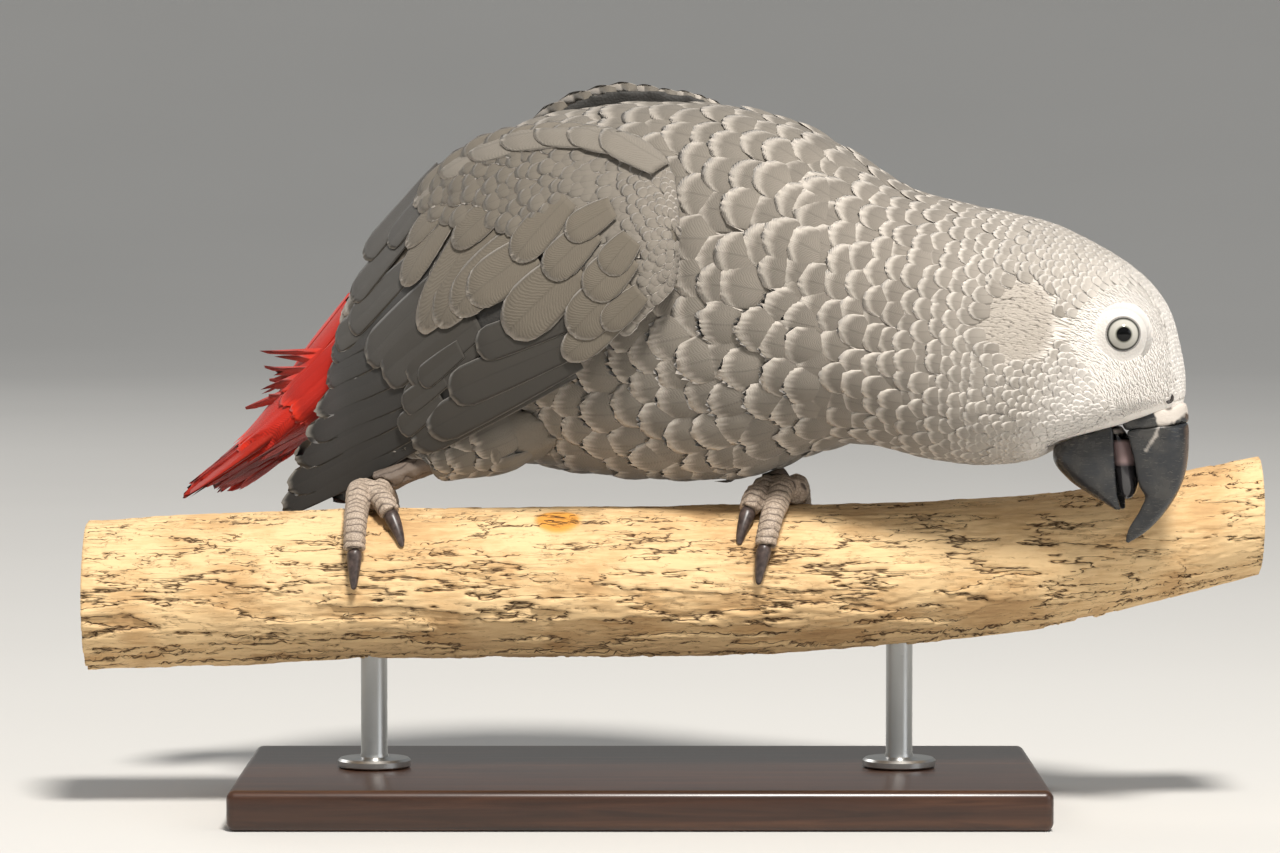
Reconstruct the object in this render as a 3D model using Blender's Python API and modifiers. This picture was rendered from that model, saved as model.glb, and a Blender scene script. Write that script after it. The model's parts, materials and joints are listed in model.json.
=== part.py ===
"""A grey parrot reaching down along a branch, as a still life-size model on a display stand.

Metres, +Z up. The origin is the middle of the stand base's underside. The branch runs along X.
The bird is drawn in its own frame (forward along its heading, left, up from the branch's axis),
and bird_to_world turns that frame to the heading and sets it over the branch.
"""

import math

import bmesh
import bpy
import numpy as np
from mathutils import Matrix, Vector

# Stand
BASE_SIZE = (0.240, 0.116, 0.012)
BASE_BEVEL = 0.0025
ROD_X = (-0.080, 0.078)
ROD_RADIUS = 0.004
FLANGE_RADIUS = 0.011
FLANGE_HEIGHT = 0.0026
SOCKET_DEPTH = 0.011

# Branch: place along X, height of its axis over PERCH_HEIGHT, sideways sway and radius
PERCH_HEIGHT = 0.068
PERCH = (
    (-0.166, -0.0036, 0.0000, 0.0222),
    (-0.130, -0.0022, 0.0008, 0.0224),
    (-0.080, -0.0002, 0.0004, 0.0223),
    (-0.020, 0.0004, -0.0004, 0.0224),
    (0.040, 0.0012, 0.0000, 0.0221),
    (0.085, 0.0034, 0.0008, 0.0210),
    (0.120, 0.0064, 0.0014, 0.0199),
    (0.150, 0.0118, 0.0016, 0.0188),
    (0.186, 0.0202, 0.0010, 0.0178),
)
PERCH_RINGS = 19
PERCH_SIDES = 20

# The bird's place over the branch
HEADING = math.radians(-19.0)
BIRD_Y = 0.014

GAP = 0.0003  # between pieces that meet
CUT = 0.00015  # from a thin cut to the solid on either side of it

# Ribs of the body: crown forward and up, keel forward and up, half width, height of the widest
# level as a share of the rib, squareness (2 is an ellipse)
BODY = (
    (-0.0970, 0.0800, -0.0775, 0.0585, 0.0145, 0.50, 2.3),
    (-0.0870, 0.0935, -0.0655, 0.0480, 0.0220, 0.48, 2.25),
    (-0.0765, 0.1070, -0.0530, 0.0405, 0.0285, 0.47, 2.15),
    (-0.0600, 0.1240, -0.0345, 0.0345, 0.0355, 0.46, 2.1),
    (-0.0375, 0.1382, -0.0140, 0.0315, 0.0400, 0.47, 2.1),
    (-0.0120, 0.1442, 0.0060, 0.0300, 0.0430, 0.50, 2.2),
    (0.0190, 0.1452, 0.0240, 0.0297, 0.0440, 0.51, 2.2),
    (0.0355, 0.1428, 0.0400, 0.0322, 0.0438, 0.52, 2.2),
    (0.0515, 0.1378, 0.0535, 0.0378, 0.0428, 0.53, 2.2),
    (0.0690, 0.1285, 0.0660, 0.0408, 0.0405, 0.54, 2.2),
    (0.0835, 0.1196, 0.0785, 0.0397, 0.0385, 0.55, 2.2),
    (0.1000, 0.1150, 0.0930, 0.0368, 0.0365, 0.56, 2.2),
    (0.1140, 0.1120, 0.1045, 0.0358, 0.0340, 0.57, 2.2),
    (0.1285, 0.1082, 0.1140, 0.0364, 0.0308, 0.58, 2.25),
    (0.1450, 0.1000, 0.1205, 0.0376, 0.0270, 0.59, 2.3),
    (0.1555, 0.0925, 0.1240, 0.0388, 0.0247, 0.60, 2.35),
    (0.1625, 0.0832, 0.1262, 0.0402, 0.0230, 0.61, 2.4),
    (0.1662, 0.0710, 0.1277, 0.0417, 0.0202, 0.60, 2.4),
    (0.1678, 0.0625, 0.1284, 0.0425, 0.0166, 0.56, 2.3),
    (0.1680, 0.0562, 0.1290, 0.0433, 0.0112, 0.52, 2.2),
)
NECK_AT = 9.5  # cuts, counted in ribs
HEAD_AT = 12.6
TRUNK_RINGS = 19
NECK_RINGS = 6
HEAD_RINGS = 15
BODY_SIDES = 24

# Eyes: centre forward, up and sideways, and the ball's radius
EYE = (0.1535, 0.0764, 0.0166)
EYE_RADIUS = 0.0062
EYE_SEGMENTS = 14

# Upper bill: culmen and cutting edge in profile, and half width
UPPER_BILL = (
    (0.1685, 0.0560, 0.1508, 0.0502, 0.0088),
    (0.1690, 0.0505, 0.1518, 0.0482, 0.0086),
    (0.1693, 0.0470, 0.1527, 0.0455, 0.0083),
    (0.1692, 0.0420, 0.1541, 0.0403, 0.0079),
    (0.1684, 0.0356, 0.1549, 0.0353, 0.0073),
    (0.1666, 0.0308, 0.1557, 0.0314, 0.0066),
    (0.1646, 0.0273, 0.1576, 0.0290, 0.0058),
    (0.1621, 0.0237, 0.1566, 0.0262, 0.0047),
    (0.1590, 0.0204, 0.1546, 0.0229, 0.0034),
    (0.1556, 0.0174, 0.1523, 0.0196, 0.0022),
    (0.1529, 0.0158, 0.1511, 0.0170, 0.0011),
    (0.1514, 0.0148, 0.1508, 0.0151, 0.0004),
)
CERE_AT = 1.0  # where the cere ends and the horn begins, in stations
PALATE_DEPTH = 0.30

# Lower bill: keel and cutting edge in profile, and half width
LOWER_BILL = (
    (0.1290, 0.0430, 0.1483, 0.0495, 0.0082),
    (0.1286, 0.0400, 0.1485, 0.0450, 0.0084),
    (0.1291, 0.0376, 0.1486, 0.0415, 0.0084),
    (0.1324, 0.0340, 0.1488, 0.0372, 0.0080),
    (0.1365, 0.0308, 0.1489, 0.0330, 0.0072),
    (0.1412, 0.0282, 0.1490, 0.0294, 0.0060),
    (0.1452, 0.0260, 0.1494, 0.0264, 0.0046),
    (0.1478, 0.0246, 0.1497, 0.0246, 0.0034),
)
SCOOP = (0.62, 0.45)  # the hollow's depth and width, as shares of the bill's

# Tongue: middle line forward and up, half depth, half width
TONGUE = (
    (0.1470, 0.0475, 0.0022, 0.0026),
    (0.1492, 0.0430, 0.0028, 0.0034),
    (0.1505, 0.0370, 0.0030, 0.0038),
    (0.1512, 0.0320, 0.0029, 0.0036),
    (0.1515, 0.0290, 0.0020, 0.0026),
    (0.1515, 0.0278, 0.0008, 0.0010),
)

# Wing, folded: for each rib across it, upper edge forward, up and outward, then the outward
# place of its middle, then lower edge forward, up and outward, and thickness
WING = (
    (0.0272, 0.1065, 0.0460, 0.0475, 0.0276, 0.1010, 0.0468, 0.0040),
    (0.0225, 0.1235, 0.0400, 0.0500, 0.0262, 0.0900, 0.0505, 0.0085),
    (0.0090, 0.1340, 0.0320, 0.0505, 0.0195, 0.0830, 0.0530, 0.0095),
    (-0.0110, 0.1380, 0.0262, 0.0505, 0.0060, 0.0705, 0.0535, 0.0095),
    (-0.0345, 0.1368, 0.0215, 0.0490, -0.0130, 0.0580, 0.0515, 0.0090),
    (-0.0560, 0.1277, 0.0180, 0.0450, -0.0330, 0.0485, 0.0475, 0.0080),
    (-0.0735, 0.1110, 0.0155, 0.0385, -0.0510, 0.0415, 0.0420, 0.0065),
    (-0.0862, 0.0955, 0.0140, 0.0320, -0.0650, 0.0368, 0.0370, 0.0050),
    (-0.0945, 0.0790, 0.0142, 0.0275, -0.0770, 0.0345, 0.0325, 0.0036),
    (-0.0975, 0.0600, 0.0165, 0.0240, -0.0870, 0.0300, 0.0280, 0.0026),
    (-0.1030, 0.0420, 0.0195, 0.0215, -0.0985, 0.0235, 0.0235, 0.0020),
    (-0.1120, 0.0210, 0.0190, 0.0195, -0.1110, 0.0165, 0.0198, 0.0015),
)
PRIMARIES_AT = 7.4  # where the flight feathers' own solid begins, in ribs
WING_RINGS = 16
PRIMARY_RINGS = 6
WING_ACROSS = 9
WING_EDGE = 0.22  # thickness at the wing's edges, as a share
THINNEST = 0.0006
FAR_WING_LIFT = 0.0115  # how far the left wing's upper edge stands up
LIFT_AT = 2.7
LIFT_REACH = 1.3

# Tail: middle line forward and up, half width, half thickness, how far its sides droop
TAIL = (
    (-0.0885, 0.0690, 0.0130, 0.0160, 0.0010),
    (-0.0990, 0.0605, 0.0142, 0.0130, 0.0020),
    (-0.1115, 0.0498, 0.0165, 0.0085, 0.0035),
    (-0.1230, 0.0405, 0.0200, 0.0052, 0.0045),
    (-0.1345, 0.0325, 0.0225, 0.0034, 0.0050),
    (-0.1435, 0.0268, 0.0210, 0.0022, 0.0045),
    (-0.1488, 0.0240, 0.0125, 0.0012, 0.0025),
)
TAIL_SLOPE = math.radians(41.0)
TAIL_SIDES = 18
TAIL_RINGS = 12

# Legs: place along X and Y and height over the branch's axis, of the hip, the feathered end,
# the ankle and the foot, and their radii
LEGS = {
    "right": {
        "thigh": ((-0.018, 0.004, 0.056), (-0.042, 0.002, 0.045), (-0.062, 0.002, 0.0365)),
        "shank": ((-0.0620, 0.0020, 0.0363), (-0.0710, 0.0030, 0.0325), (-0.0790, 0.0035, 0.0290)),
        "foot": (-0.0805, 0.0030),
        "toes": {
            "2": (-0.0030, 0.0060, 58.0, -1.0),
            "3": (-0.0036, -0.0040, 27.0, -1.0),
            "1": (0.0020, 0.0045, 52.0, 1.0),
            "4": (-0.0030, -0.0060, 30.0, 1.0),
        },
    },
    "left": {
        "thigh": ((0.010, 0.014, 0.052), (0.020, 0.012, 0.040), (0.030, 0.009, 0.0330)),
        "shank": ((0.0350, 0.0070, 0.0400), (0.0390, 0.0050, 0.0340), (0.0432, 0.0035, 0.0280)),
        "foot": (0.0435, 0.0030),
        "toes": {
            "2": (-0.0040, -0.0110, 58.0, -1.0),
            "3": (0.0010, -0.0065, 27.0, -1.0),
            "1": (-0.0020, -0.0045, 52.0, 1.0),
            "4": (0.0030, 0.0060, 30.0, 1.0),
        },
    },
}
THIGH_RADII = (0.0150, 0.0120, 0.0055)
SHANK_RADII = (0.0036, 0.0035, 0.0040)
FOOT_PAD = (0.0062, 0.0070, 0.0040)
TOE_RADII = (0.0040, 0.0033)
KNUCKLE = 0.0016
TOE_POINTS = 7
CLAW_LENGTH = 0.0112
CLAW_RADIUS = 0.0023
CLAW_POINTS = 5
TUBE_SIDES = 8

PI_2 = 2.0 * math.pi


def clear_scene():
    for obj in list(bpy.data.objects):
        bpy.data.objects.remove(obj, do_unlink=True)


def new_collection(name):
    collection = bpy.data.collections.new(name)
    bpy.context.scene.collection.children.link(collection)
    return collection


def material(name, colour, roughness, metallic=0.0):
    mat = bpy.data.materials.new(name)
    mat.use_nodes = True
    shader = mat.node_tree.nodes["Principled BSDF"]
    shader.inputs["Base Color"].default_value = (*colour, 1.0)
    shader.inputs["Roughness"].default_value = roughness
    shader.inputs["Metallic"].default_value = metallic
    mat.diffuse_color = (*colour, 1.0)
    return mat


clear_scene()
PARTS = new_collection("grey_parrot")
CUTTERS = new_collection("cutters")
FEATHER = material("grey_feather", (0.25, 0.23, 0.20), 0.75)
PALE_FEATHER = material("pale_feather", (0.55, 0.51, 0.46), 0.8)
RED_FEATHER = material("red_feather", (0.60, 0.03, 0.015), 0.7)
HORN = material("bill_horn", (0.035, 0.036, 0.038), 0.4)
CERE = material("cere_skin", (0.62, 0.58, 0.54), 0.7)
TONGUE_SKIN = material("tongue_skin", (0.30, 0.20, 0.20), 0.4)
EYE_GLASS = material("eye_glass", (0.50, 0.50, 0.42), 0.1)
SCALED_SKIN = material("scaled_skin", (0.36, 0.30, 0.25), 0.6)
CLAW_HORN = material("claw_horn", (0.03, 0.022, 0.018), 0.4)
BARK = material("branch_wood", (0.62, 0.42, 0.21), 0.85)
BASE_WOOD = material("stained_wood", (0.09, 0.045, 0.025), 0.35)
STEEL = material("stand_steel", (0.55, 0.55, 0.55), 0.3, 1.0)


def add_object(name, mesh, mat, cutter=False):
    obj = bpy.data.objects.new(name, mesh)
    mesh.materials.append(mat)
    if cutter:
        CUTTERS.objects.link(obj)
        obj.hide_render = True
        obj.display_type = "WIRE"
    else:
        PARTS.objects.link(obj)
    return obj


def mesh_from(name, bm, smooth_angle=40.0):
    """Turns a bmesh into a mesh with its faces pointing out, shaded smooth."""
    bmesh.ops.recalc_face_normals(bm, faces=bm.faces)
    mesh = bpy.data.meshes.new(name)
    bm.to_mesh(mesh)
    bm.free()
    mesh.shade_smooth()
    mesh.set_sharp_from_angle(angle=math.radians(smooth_angle))
    return mesh


def loft(name, rings, mat, cutter=False, world=True):
    """A closed solid through rings of equally many points, with flat ends."""
    bm = bmesh.new()
    placed = [[bm.verts.new(bird_to_world(p) if world else p) for p in ring] for ring in rings]
    for low, high in zip(placed, placed[1:]):
        count = len(low)
        for i in range(count):
            j = (i + 1) % count
            bm.faces.new((low[i], low[j], high[j], high[i]))
    bm.faces.new(placed[0])
    bm.faces.new(placed[-1])
    return add_object(name, mesh_from(name, bm), mat, cutter)


def tube(name, points, radii, mat, cutter=False, sides=TUBE_SIDES):
    """A round bar along the points, whose radius follows radii, as a welded mesh."""
    curve = bpy.data.curves.new(name + "_path", "CURVE")
    curve.dimensions = "3D"
    curve.bevel_depth = 1.0
    curve.bevel_resolution = (sides - 4) // 2
    curve.use_fill_caps = True
    spline = curve.splines.new("POLY")
    spline.points.add(len(points) - 1)
    for target, place, radius in zip(spline.points, points, radii):
        target.co = (*place, 1.0)
        target.radius = radius
    guide = bpy.data.objects.new(name + "_path", curve)
    CUTTERS.objects.link(guide)
    bpy.context.view_layer.update()
    made = bpy.data.meshes.new_from_object(guide.evaluated_get(bpy.context.evaluated_depsgraph_get()))
    bpy.data.objects.remove(guide, do_unlink=True)
    bm = bmesh.new()
    bm.from_mesh(made)
    bpy.data.meshes.remove(made)
    bmesh.ops.remove_doubles(bm, verts=bm.verts, dist=1e-6)
    return add_object(name, mesh_from(name, bm), mat, cutter)


def ball(name, centre, radii, mat, cutter=False, segments=16, turn=None):
    bm = bmesh.new()
    bmesh.ops.create_uvsphere(bm, u_segments=segments, v_segments=segments * 2 // 3, radius=1.0)
    shape = Matrix.Diagonal((*radii, 1.0))
    bm.transform(Matrix.Translation(centre) @ (turn or Matrix.Identity(4)) @ shape)
    return add_object(name, mesh_from(name, bm), mat, cutter)


def boolean(target, other, operation):
    modifier = target.modifiers.new(operation.lower() + "_" + other.name, "BOOLEAN")
    modifier.operation = operation
    modifier.object = other
    modifier.solver = "EXACT"


def bird_to_world(point):
    """From the bird's own frame (forward, left, up from the branch's axis) to the world."""
    forward, left, up = point
    c, s = math.cos(HEADING), math.sin(HEADING)
    return Vector((forward * c - left * s, forward * s + left * c + BIRD_Y, up + PERCH_HEIGHT))


def along(table, t):
    """A smooth curve through the table's rows, read t rows in."""
    rows = np.asarray(table, float)
    last = len(rows) - 1
    k = int(min(max(math.floor(t), 0), last - 1))
    f = t - k
    a, b = rows[k], rows[k + 1]
    before = (b - rows[k - 1]) / 2 if k > 0 else b - a
    after = (rows[k + 2] - a) / 2 if k + 2 <= last else b - a
    return (
        (2 * f**3 - 3 * f**2 + 1) * a
        + (f**3 - 2 * f**2 + f) * before
        + (3 * f**2 - 2 * f**3) * b
        + (f**3 - f**2) * after
    )


def steps(first, last, count):
    return [first + (last - first) * i / (count - 1) for i in range(count)]


def power(value, exponent):
    return math.copysign(abs(value) ** exponent, value)


def body_ring(t, grow=0.0):
    """One rib of the body: a rounded section between its crown and its keel."""
    crown_x, crown_z, keel_x, keel_z, half_width, level, square = along(BODY, t)
    crown, keel = np.array([crown_x, crown_z]), np.array([keel_x, keel_z])
    rise = (crown - keel) / np.linalg.norm(crown - keel)
    crown, keel, half_width = crown + rise * grow, keel - rise * grow, half_width + grow
    middle = keel + (crown - keel) * level
    ring = []
    for i in range(BODY_SIDES):
        angle = PI_2 * i / BODY_SIDES
        up, side = power(math.sin(angle), 2 / square), power(math.cos(angle), 2 / square)
        x, z = middle + (crown - middle if up > 0 else middle - keel) * up
        ring.append((x, side * half_width, z))
    return ring


def stations_to_clear(table, t, step=1e-3):
    """How many stations make up the distance CUT at t, on the tighter side of the rib."""
    a, b = along(table, t - step), along(table, t + step)
    apart = min(np.hypot(*(b - a)[:2]), np.hypot(*(b - a)[2:4])) / (2 * step)
    return CUT / apart


def body_lengths():
    last = len(BODY) - 1
    neck_gap = stations_to_clear(BODY, NECK_AT)
    head_gap = stations_to_clear(BODY, HEAD_AT)
    loft("trunk", [body_ring(t) for t in steps(0, NECK_AT - neck_gap, TRUNK_RINGS)], FEATHER)
    neck_rings = steps(NECK_AT + neck_gap, HEAD_AT - head_gap, NECK_RINGS)
    loft("neck", [body_ring(t) for t in neck_rings], FEATHER)
    head = loft("head", [body_ring(t) for t in steps(HEAD_AT + head_gap, last, HEAD_RINGS)], PALE_FEATHER)
    loft("trunk_clearance", [body_ring(t, GAP) for t in steps(0, NECK_AT, TRUNK_RINGS)], FEATHER, True)
    for side, sign in (("right", -1.0), ("left", 1.0)):
        centre = bird_to_world((EYE[0], sign * EYE[2], EYE[1]))
        ball("eye_" + side, centre, (EYE_RADIUS,) * 3, EYE_GLASS, segments=EYE_SEGMENTS)
        room = (EYE_RADIUS + GAP,) * 3
        boolean(head, ball("socket_" + side, centre, room, CERE, True, EYE_SEGMENTS), "DIFFERENCE")


def upper_bill_ring(t):
    """A ridge at the culmen, full sides, cutting edges and a hollow palate."""
    culmen_x, culmen_z, edge_x, edge_z, half_width = along(UPPER_BILL, t)
    culmen, edge = np.array([culmen_x, culmen_z]), np.array([edge_x, edge_z])
    side = []
    for share, width in ((0.05, 0.34), (0.17, 0.64), (0.36, 0.88), (0.60, 1.0), (0.84, 0.96), (1.0, 0.84)):
        side.append((culmen + (edge - culmen) * share, width * half_width))
    side.append((edge + (culmen - edge) * 0.04, 0.66 * half_width))
    palate = edge + (culmen - edge) * PALATE_DEPTH
    ring = [(*culmen, 0.0)] + [(*p, w) for p, w in side] + [(*palate, 0.0)]
    ring += [(*p, -w) for p, w in reversed(side)]
    return [(x, y, z) for x, z, y in ring]


def lower_bill_ring(t):
    """A scoop: a rounded keel, full sides and a hollow between its cutting edges."""
    keel_x, keel_z, edge_x, edge_z, half_width = along(LOWER_BILL, t)
    keel, edge = np.array([keel_x, keel_z]), np.array([edge_x, edge_z])
    depth, width = SCOOP
    side = []
    for share, w in ((0.03, 0.34), (0.12, 0.64), (0.30, 0.88), (0.56, 1.0), (0.82, 0.97), (1.0, 0.90)):
        side.append((keel + (edge - keel) * share, w * half_width))
    side.append((edge, 0.66 * half_width))
    side.append((edge + (keel - edge) * depth * 0.7, width * half_width))
    floor = edge + (keel - edge) * depth
    ring = [(*keel, 0.0)] + [(*p, w) for p, w in side] + [(*floor, 0.0)]
    ring += [(*p, -w) for p, w in reversed(side)]
    return [(x, y, z) for x, z, y in ring]


def shifted(ring, x, z):
    return [(px + x, py, pz + z) for px, py, pz in ring]


def bill():
    """The horny bill hangs under the head's last rib, a gap below it."""
    crown, keel = np.array(BODY[-1][:2]), np.array(BODY[-1][2:4])
    along_rib = (crown - keel) / np.linalg.norm(crown - keel)
    down = np.array([along_rib[1], -along_rib[0]]) * GAP
    last = len(UPPER_BILL) - 1
    cut = stations_to_clear(UPPER_BILL, CERE_AT)
    cere = [shifted(upper_bill_ring(t), *down) for t in steps(0, CERE_AT - cut, 3)]
    loft("cere", cere, CERE)
    horn = [shifted(upper_bill_ring(t), *down) for t in steps(CERE_AT + cut, last, 16)]
    loft("bill_upper", horn, HORN)
    jaw = [shifted(lower_bill_ring(t), *down) for t in steps(0, len(LOWER_BILL) - 1, 11)]
    loft("bill_lower", jaw, HORN)
    rings = []
    for t in steps(0, len(TONGUE) - 1, 9):
        x, z, half_depth, half_width = along(TONGUE, t)
        rings.append([
            (x + half_depth * math.cos(a), half_width * math.sin(a), z + 0.3 * half_depth * math.cos(a))
            for a in steps(0, PI_2 * 9 / 10, 10)
        ])
    loft("tongue", rings, TONGUE_SKIN)


def wing_ring(t, sign, lift):
    """One rib across the wing: outer face from upper to lower edge, and back along the inner."""
    top_x, top_z, top_y, mid_y, low_x, low_z, low_y, thick = along(WING, t)
    raised = lift * math.exp(-(((t - LIFT_AT) / LIFT_REACH) ** 2))
    outer, inner = [], []
    for v in steps(0.0, 1.0, WING_ACROSS):
        x, z = top_x + (low_x - top_x) * v, top_z + (low_z - top_z) * v
        out = top_y * (1 - v) * (1 - 2 * v) + 4 * mid_y * v * (1 - v) + low_y * v * (2 * v - 1)
        wall = max(thick * (WING_EDGE + (1 - WING_EDGE) * math.sin(math.pi * v) ** 0.7), THINNEST)
        edge = (1 - v) ** 3
        outer.append((x, sign * (out + 0.3 * raised * edge), z + raised * edge))
        inner.append((x, sign * (out - wall + 0.3 * raised * edge), z + raised * edge))
    return outer + inner[::-1]


def wings():
    clearance = bpy.data.objects["trunk_clearance"]
    for side, sign, lift in (("right", -1.0, 0.0), ("left", 1.0, FAR_WING_LIFT)):
        cut = stations_to_clear([(r[0], r[1], r[4], r[5]) for r in WING], PRIMARIES_AT)
        arm = [wing_ring(t, sign, lift) for t in steps(0, PRIMARIES_AT - cut, WING_RINGS)]
        hand = [wing_ring(t, sign, lift) for t in steps(PRIMARIES_AT + cut, len(WING) - 1, PRIMARY_RINGS)]
        boolean(loft("wing_" + side, arm, FEATHER), clearance, "DIFFERENCE")
        boolean(loft("primaries_" + side, hand, FEATHER), clearance, "DIFFERENCE")


def tail():
    """A closed fan, thick at its root and thin at its tips, with drooping sides."""
    up = np.array([-math.sin(TAIL_SLOPE), math.cos(TAIL_SLOPE)])
    first = 0.035
    rings = []
    for t in steps(first, len(TAIL) - 1, TAIL_RINGS):
        x, z, half_width, half_thick, droop = along(TAIL, t)
        ring = []
        for i in range(TAIL_SIDES):
            angle = PI_2 * i / TAIL_SIDES
            side = math.cos(angle)
            height = half_thick * math.sin(angle) - droop * side * side
            ring.append((x + up[0] * height, half_width * side, z + up[1] * height))
        rings.append(ring)
    boolean(loft("tail", rings, RED_FEATHER), bpy.data.objects["trunk_clearance"], "DIFFERENCE")


def perch_at(x):
    """The branch's axis (Y and height) and radius at a place along X."""
    rows = np.asarray(PERCH)
    k = int(min(max(np.searchsorted(rows[:, 0], x) - 1, 0), len(rows) - 2))
    t = k + (x - rows[k, 0]) / (rows[k + 1, 0] - rows[k, 0])
    _, up, side, radius = along(PERCH, t)
    return side, PERCH_HEIGHT + up, radius


def perch_tube(name, grow, cutter):
    places = steps(PERCH[0][0], PERCH[-1][0], PERCH_RINGS)
    points = [(x, *perch_at(x)[:2]) for x in places]
    radii = [perch_at(x)[2] + grow for x in places]
    return tube(name, points, radii, BARK, cutter, PERCH_SIDES)


def over_perch(x, angle, height):
    """A point over the branch at an angle from level, 90 on top, near side (-Y) under 90."""
    side, up, radius = perch_at(x)
    reach = radius + height
    return Vector((x, side - reach * math.cos(angle), up + reach * math.sin(angle)))


def toe_path(foot_x, start, end, low, way):
    """From the pad over the top of the branch and down one side: way -1 is the near side."""
    points, radii = [], []
    for f in steps(0.0, 1.0, TOE_POINTS):
        angle = math.radians(90.0 + (low - 90.0) * f + 8.0 * (1 - f))
        if way > 0:
            angle = math.pi - angle
        radius = TOE_RADII[0] + (TOE_RADII[1] - TOE_RADII[0]) * f
        knuckle = KNUCKLE * abs(math.sin(2.0 * math.pi * f))
        points.append(over_perch(foot_x + start + (end - start) * f, angle, radius + knuckle))
        radii.append(radius)
    return points, radii


def claw_path(tip, before):
    """A claw that leaves the toe's end along the toe and curls down to the bark."""
    heading = (tip - before).normalized()
    down = Vector((0.0, 0.0, -1.0))
    points, radii = [], []
    place = tip + heading * GAP
    for f in steps(0.0, 1.0, CLAW_POINTS):
        points.append(place.copy())
        radii.append(CLAW_RADIUS * (1.0 - 0.86 * f**1.3))
        heading = (heading * (1.0 - 0.35 * f) + down * 0.35 * f).normalized()
        place += heading * CLAW_LENGTH / (CLAW_POINTS - 1)
    return points, radii


def legs():
    bark = perch_tube("bark_clearance", GAP, True)
    trunk = bpy.data.objects["trunk_clearance"]
    base = Vector((0.0, 0.0, PERCH_HEIGHT))
    for side, leg in LEGS.items():
        foot_x, foot_y = leg["foot"]
        centre = Vector((foot_x, foot_y, over_perch(foot_x, math.pi / 2, FOOT_PAD[2] * 0.85).z))
        foot = ball("foot_" + side, centre, FOOT_PAD, SCALED_SKIN, segments=10)
        shank = tube("shank_" + side, [base + Vector(p) for p in leg["shank"]], SHANK_RADII, SCALED_SKIN)
        for toe, (start, end, low, way) in leg["toes"].items():
            points, radii = toe_path(foot_x, start, end, low, way)
            boolean(foot, tube("toe_" + side + toe, points, radii, SCALED_SKIN, True), "UNION")
            room = tube("toe_room_" + side + toe, points, [r + GAP for r in radii], SCALED_SKIN, True)
            boolean(shank, room, "DIFFERENCE")
            points, radii = claw_path(points[-1], points[-2])
            claw = tube("claw_" + side + "_" + toe, points, radii, CLAW_HORN, sides=6)
            boolean(claw, bark, "DIFFERENCE")
        boolean(foot, bark, "DIFFERENCE")
        pad = ball("pad_" + side, centre, [r + GAP for r in FOOT_PAD], SCALED_SKIN, True, 10)
        boolean(shank, pad, "DIFFERENCE")
        boolean(shank, trunk, "DIFFERENCE")
        thigh = tube("thigh_" + side, [base + Vector(p) for p in leg["thigh"]], THIGH_RADII, FEATHER)
        boolean(thigh, trunk, "DIFFERENCE")
        room = [r + GAP for r in SHANK_RADII]
        shank_room = tube("shank_room_" + side, [base + Vector(p) for p in leg["shank"]], room, FEATHER, True)
        boolean(thigh, shank_room, "DIFFERENCE")


def stand():
    width, depth, height = BASE_SIZE
    bm = bmesh.new()
    bmesh.ops.create_cube(bm, size=1.0)
    bm.transform(Matrix.Translation((0, 0, height / 2)) @ Matrix.Diagonal((width, depth, height, 1.0)))
    plate = add_object("stand_base", mesh_from("stand_base", bm), BASE_WOOD)
    bevel = plate.modifiers.new("edge", "BEVEL")
    bevel.width = BASE_BEVEL
    bevel.segments = 2
    perch = perch_tube("perch", 0.0, False)
    for label, x in zip(("left", "right"), ROD_X):
        side, axis, radius = perch_at(x)
        top = axis - radius + SOCKET_DEPTH - GAP
        foot = height + GAP
        flange = foot + FLANGE_HEIGHT
        profile = ((0.0, top), (ROD_RADIUS, top), (ROD_RADIUS, flange), (FLANGE_RADIUS, flange),
                   (FLANGE_RADIUS, foot), (0.0, foot))
        mesh = bpy.data.meshes.new("stand_rod_" + label)
        mesh.from_pydata([(r, 0.0, z) for r, z in profile], [(i, i + 1) for i in range(5)], [])
        rod = add_object("stand_rod_" + label, mesh, STEEL)
        rod.location = (x, side, 0.0)
        screw = rod.modifiers.new("turn", "SCREW")
        screw.steps = screw.render_steps = 20
        screw.use_merge_vertices = True
        screw.merge_threshold = 1e-5
        hole = tube("socket_rod_" + label, [(x, side, axis - radius - 0.01), (x, side, top + GAP)],
                    [ROD_RADIUS + GAP] * 2, BARK, True, 20)
        boolean(perch, hole, "DIFFERENCE")


body_lengths()
bill()
wings()
tail()
legs()
stand()
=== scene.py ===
"""A grey parrot reaching down along a branch, finished as the still model that a museum shows.

One skin lies inside the frame's solids by the coat's depth, and the feathers are thin closed
vanes over it, rooted in rows and lying towards the tail. The bird is drawn in its own frame
(forward along its heading, left, up from the branch's axis), and to_world turns it over the
branch. Lengths are in metres and colours are sRGB hex values turned to linear by linear().
"""

import json
import math

import bmesh
import bpy
import numpy as np
from mathutils import Matrix, Vector
from mathutils.bvhtree import BVHTree
from mathutils.kdtree import KDTree

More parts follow.
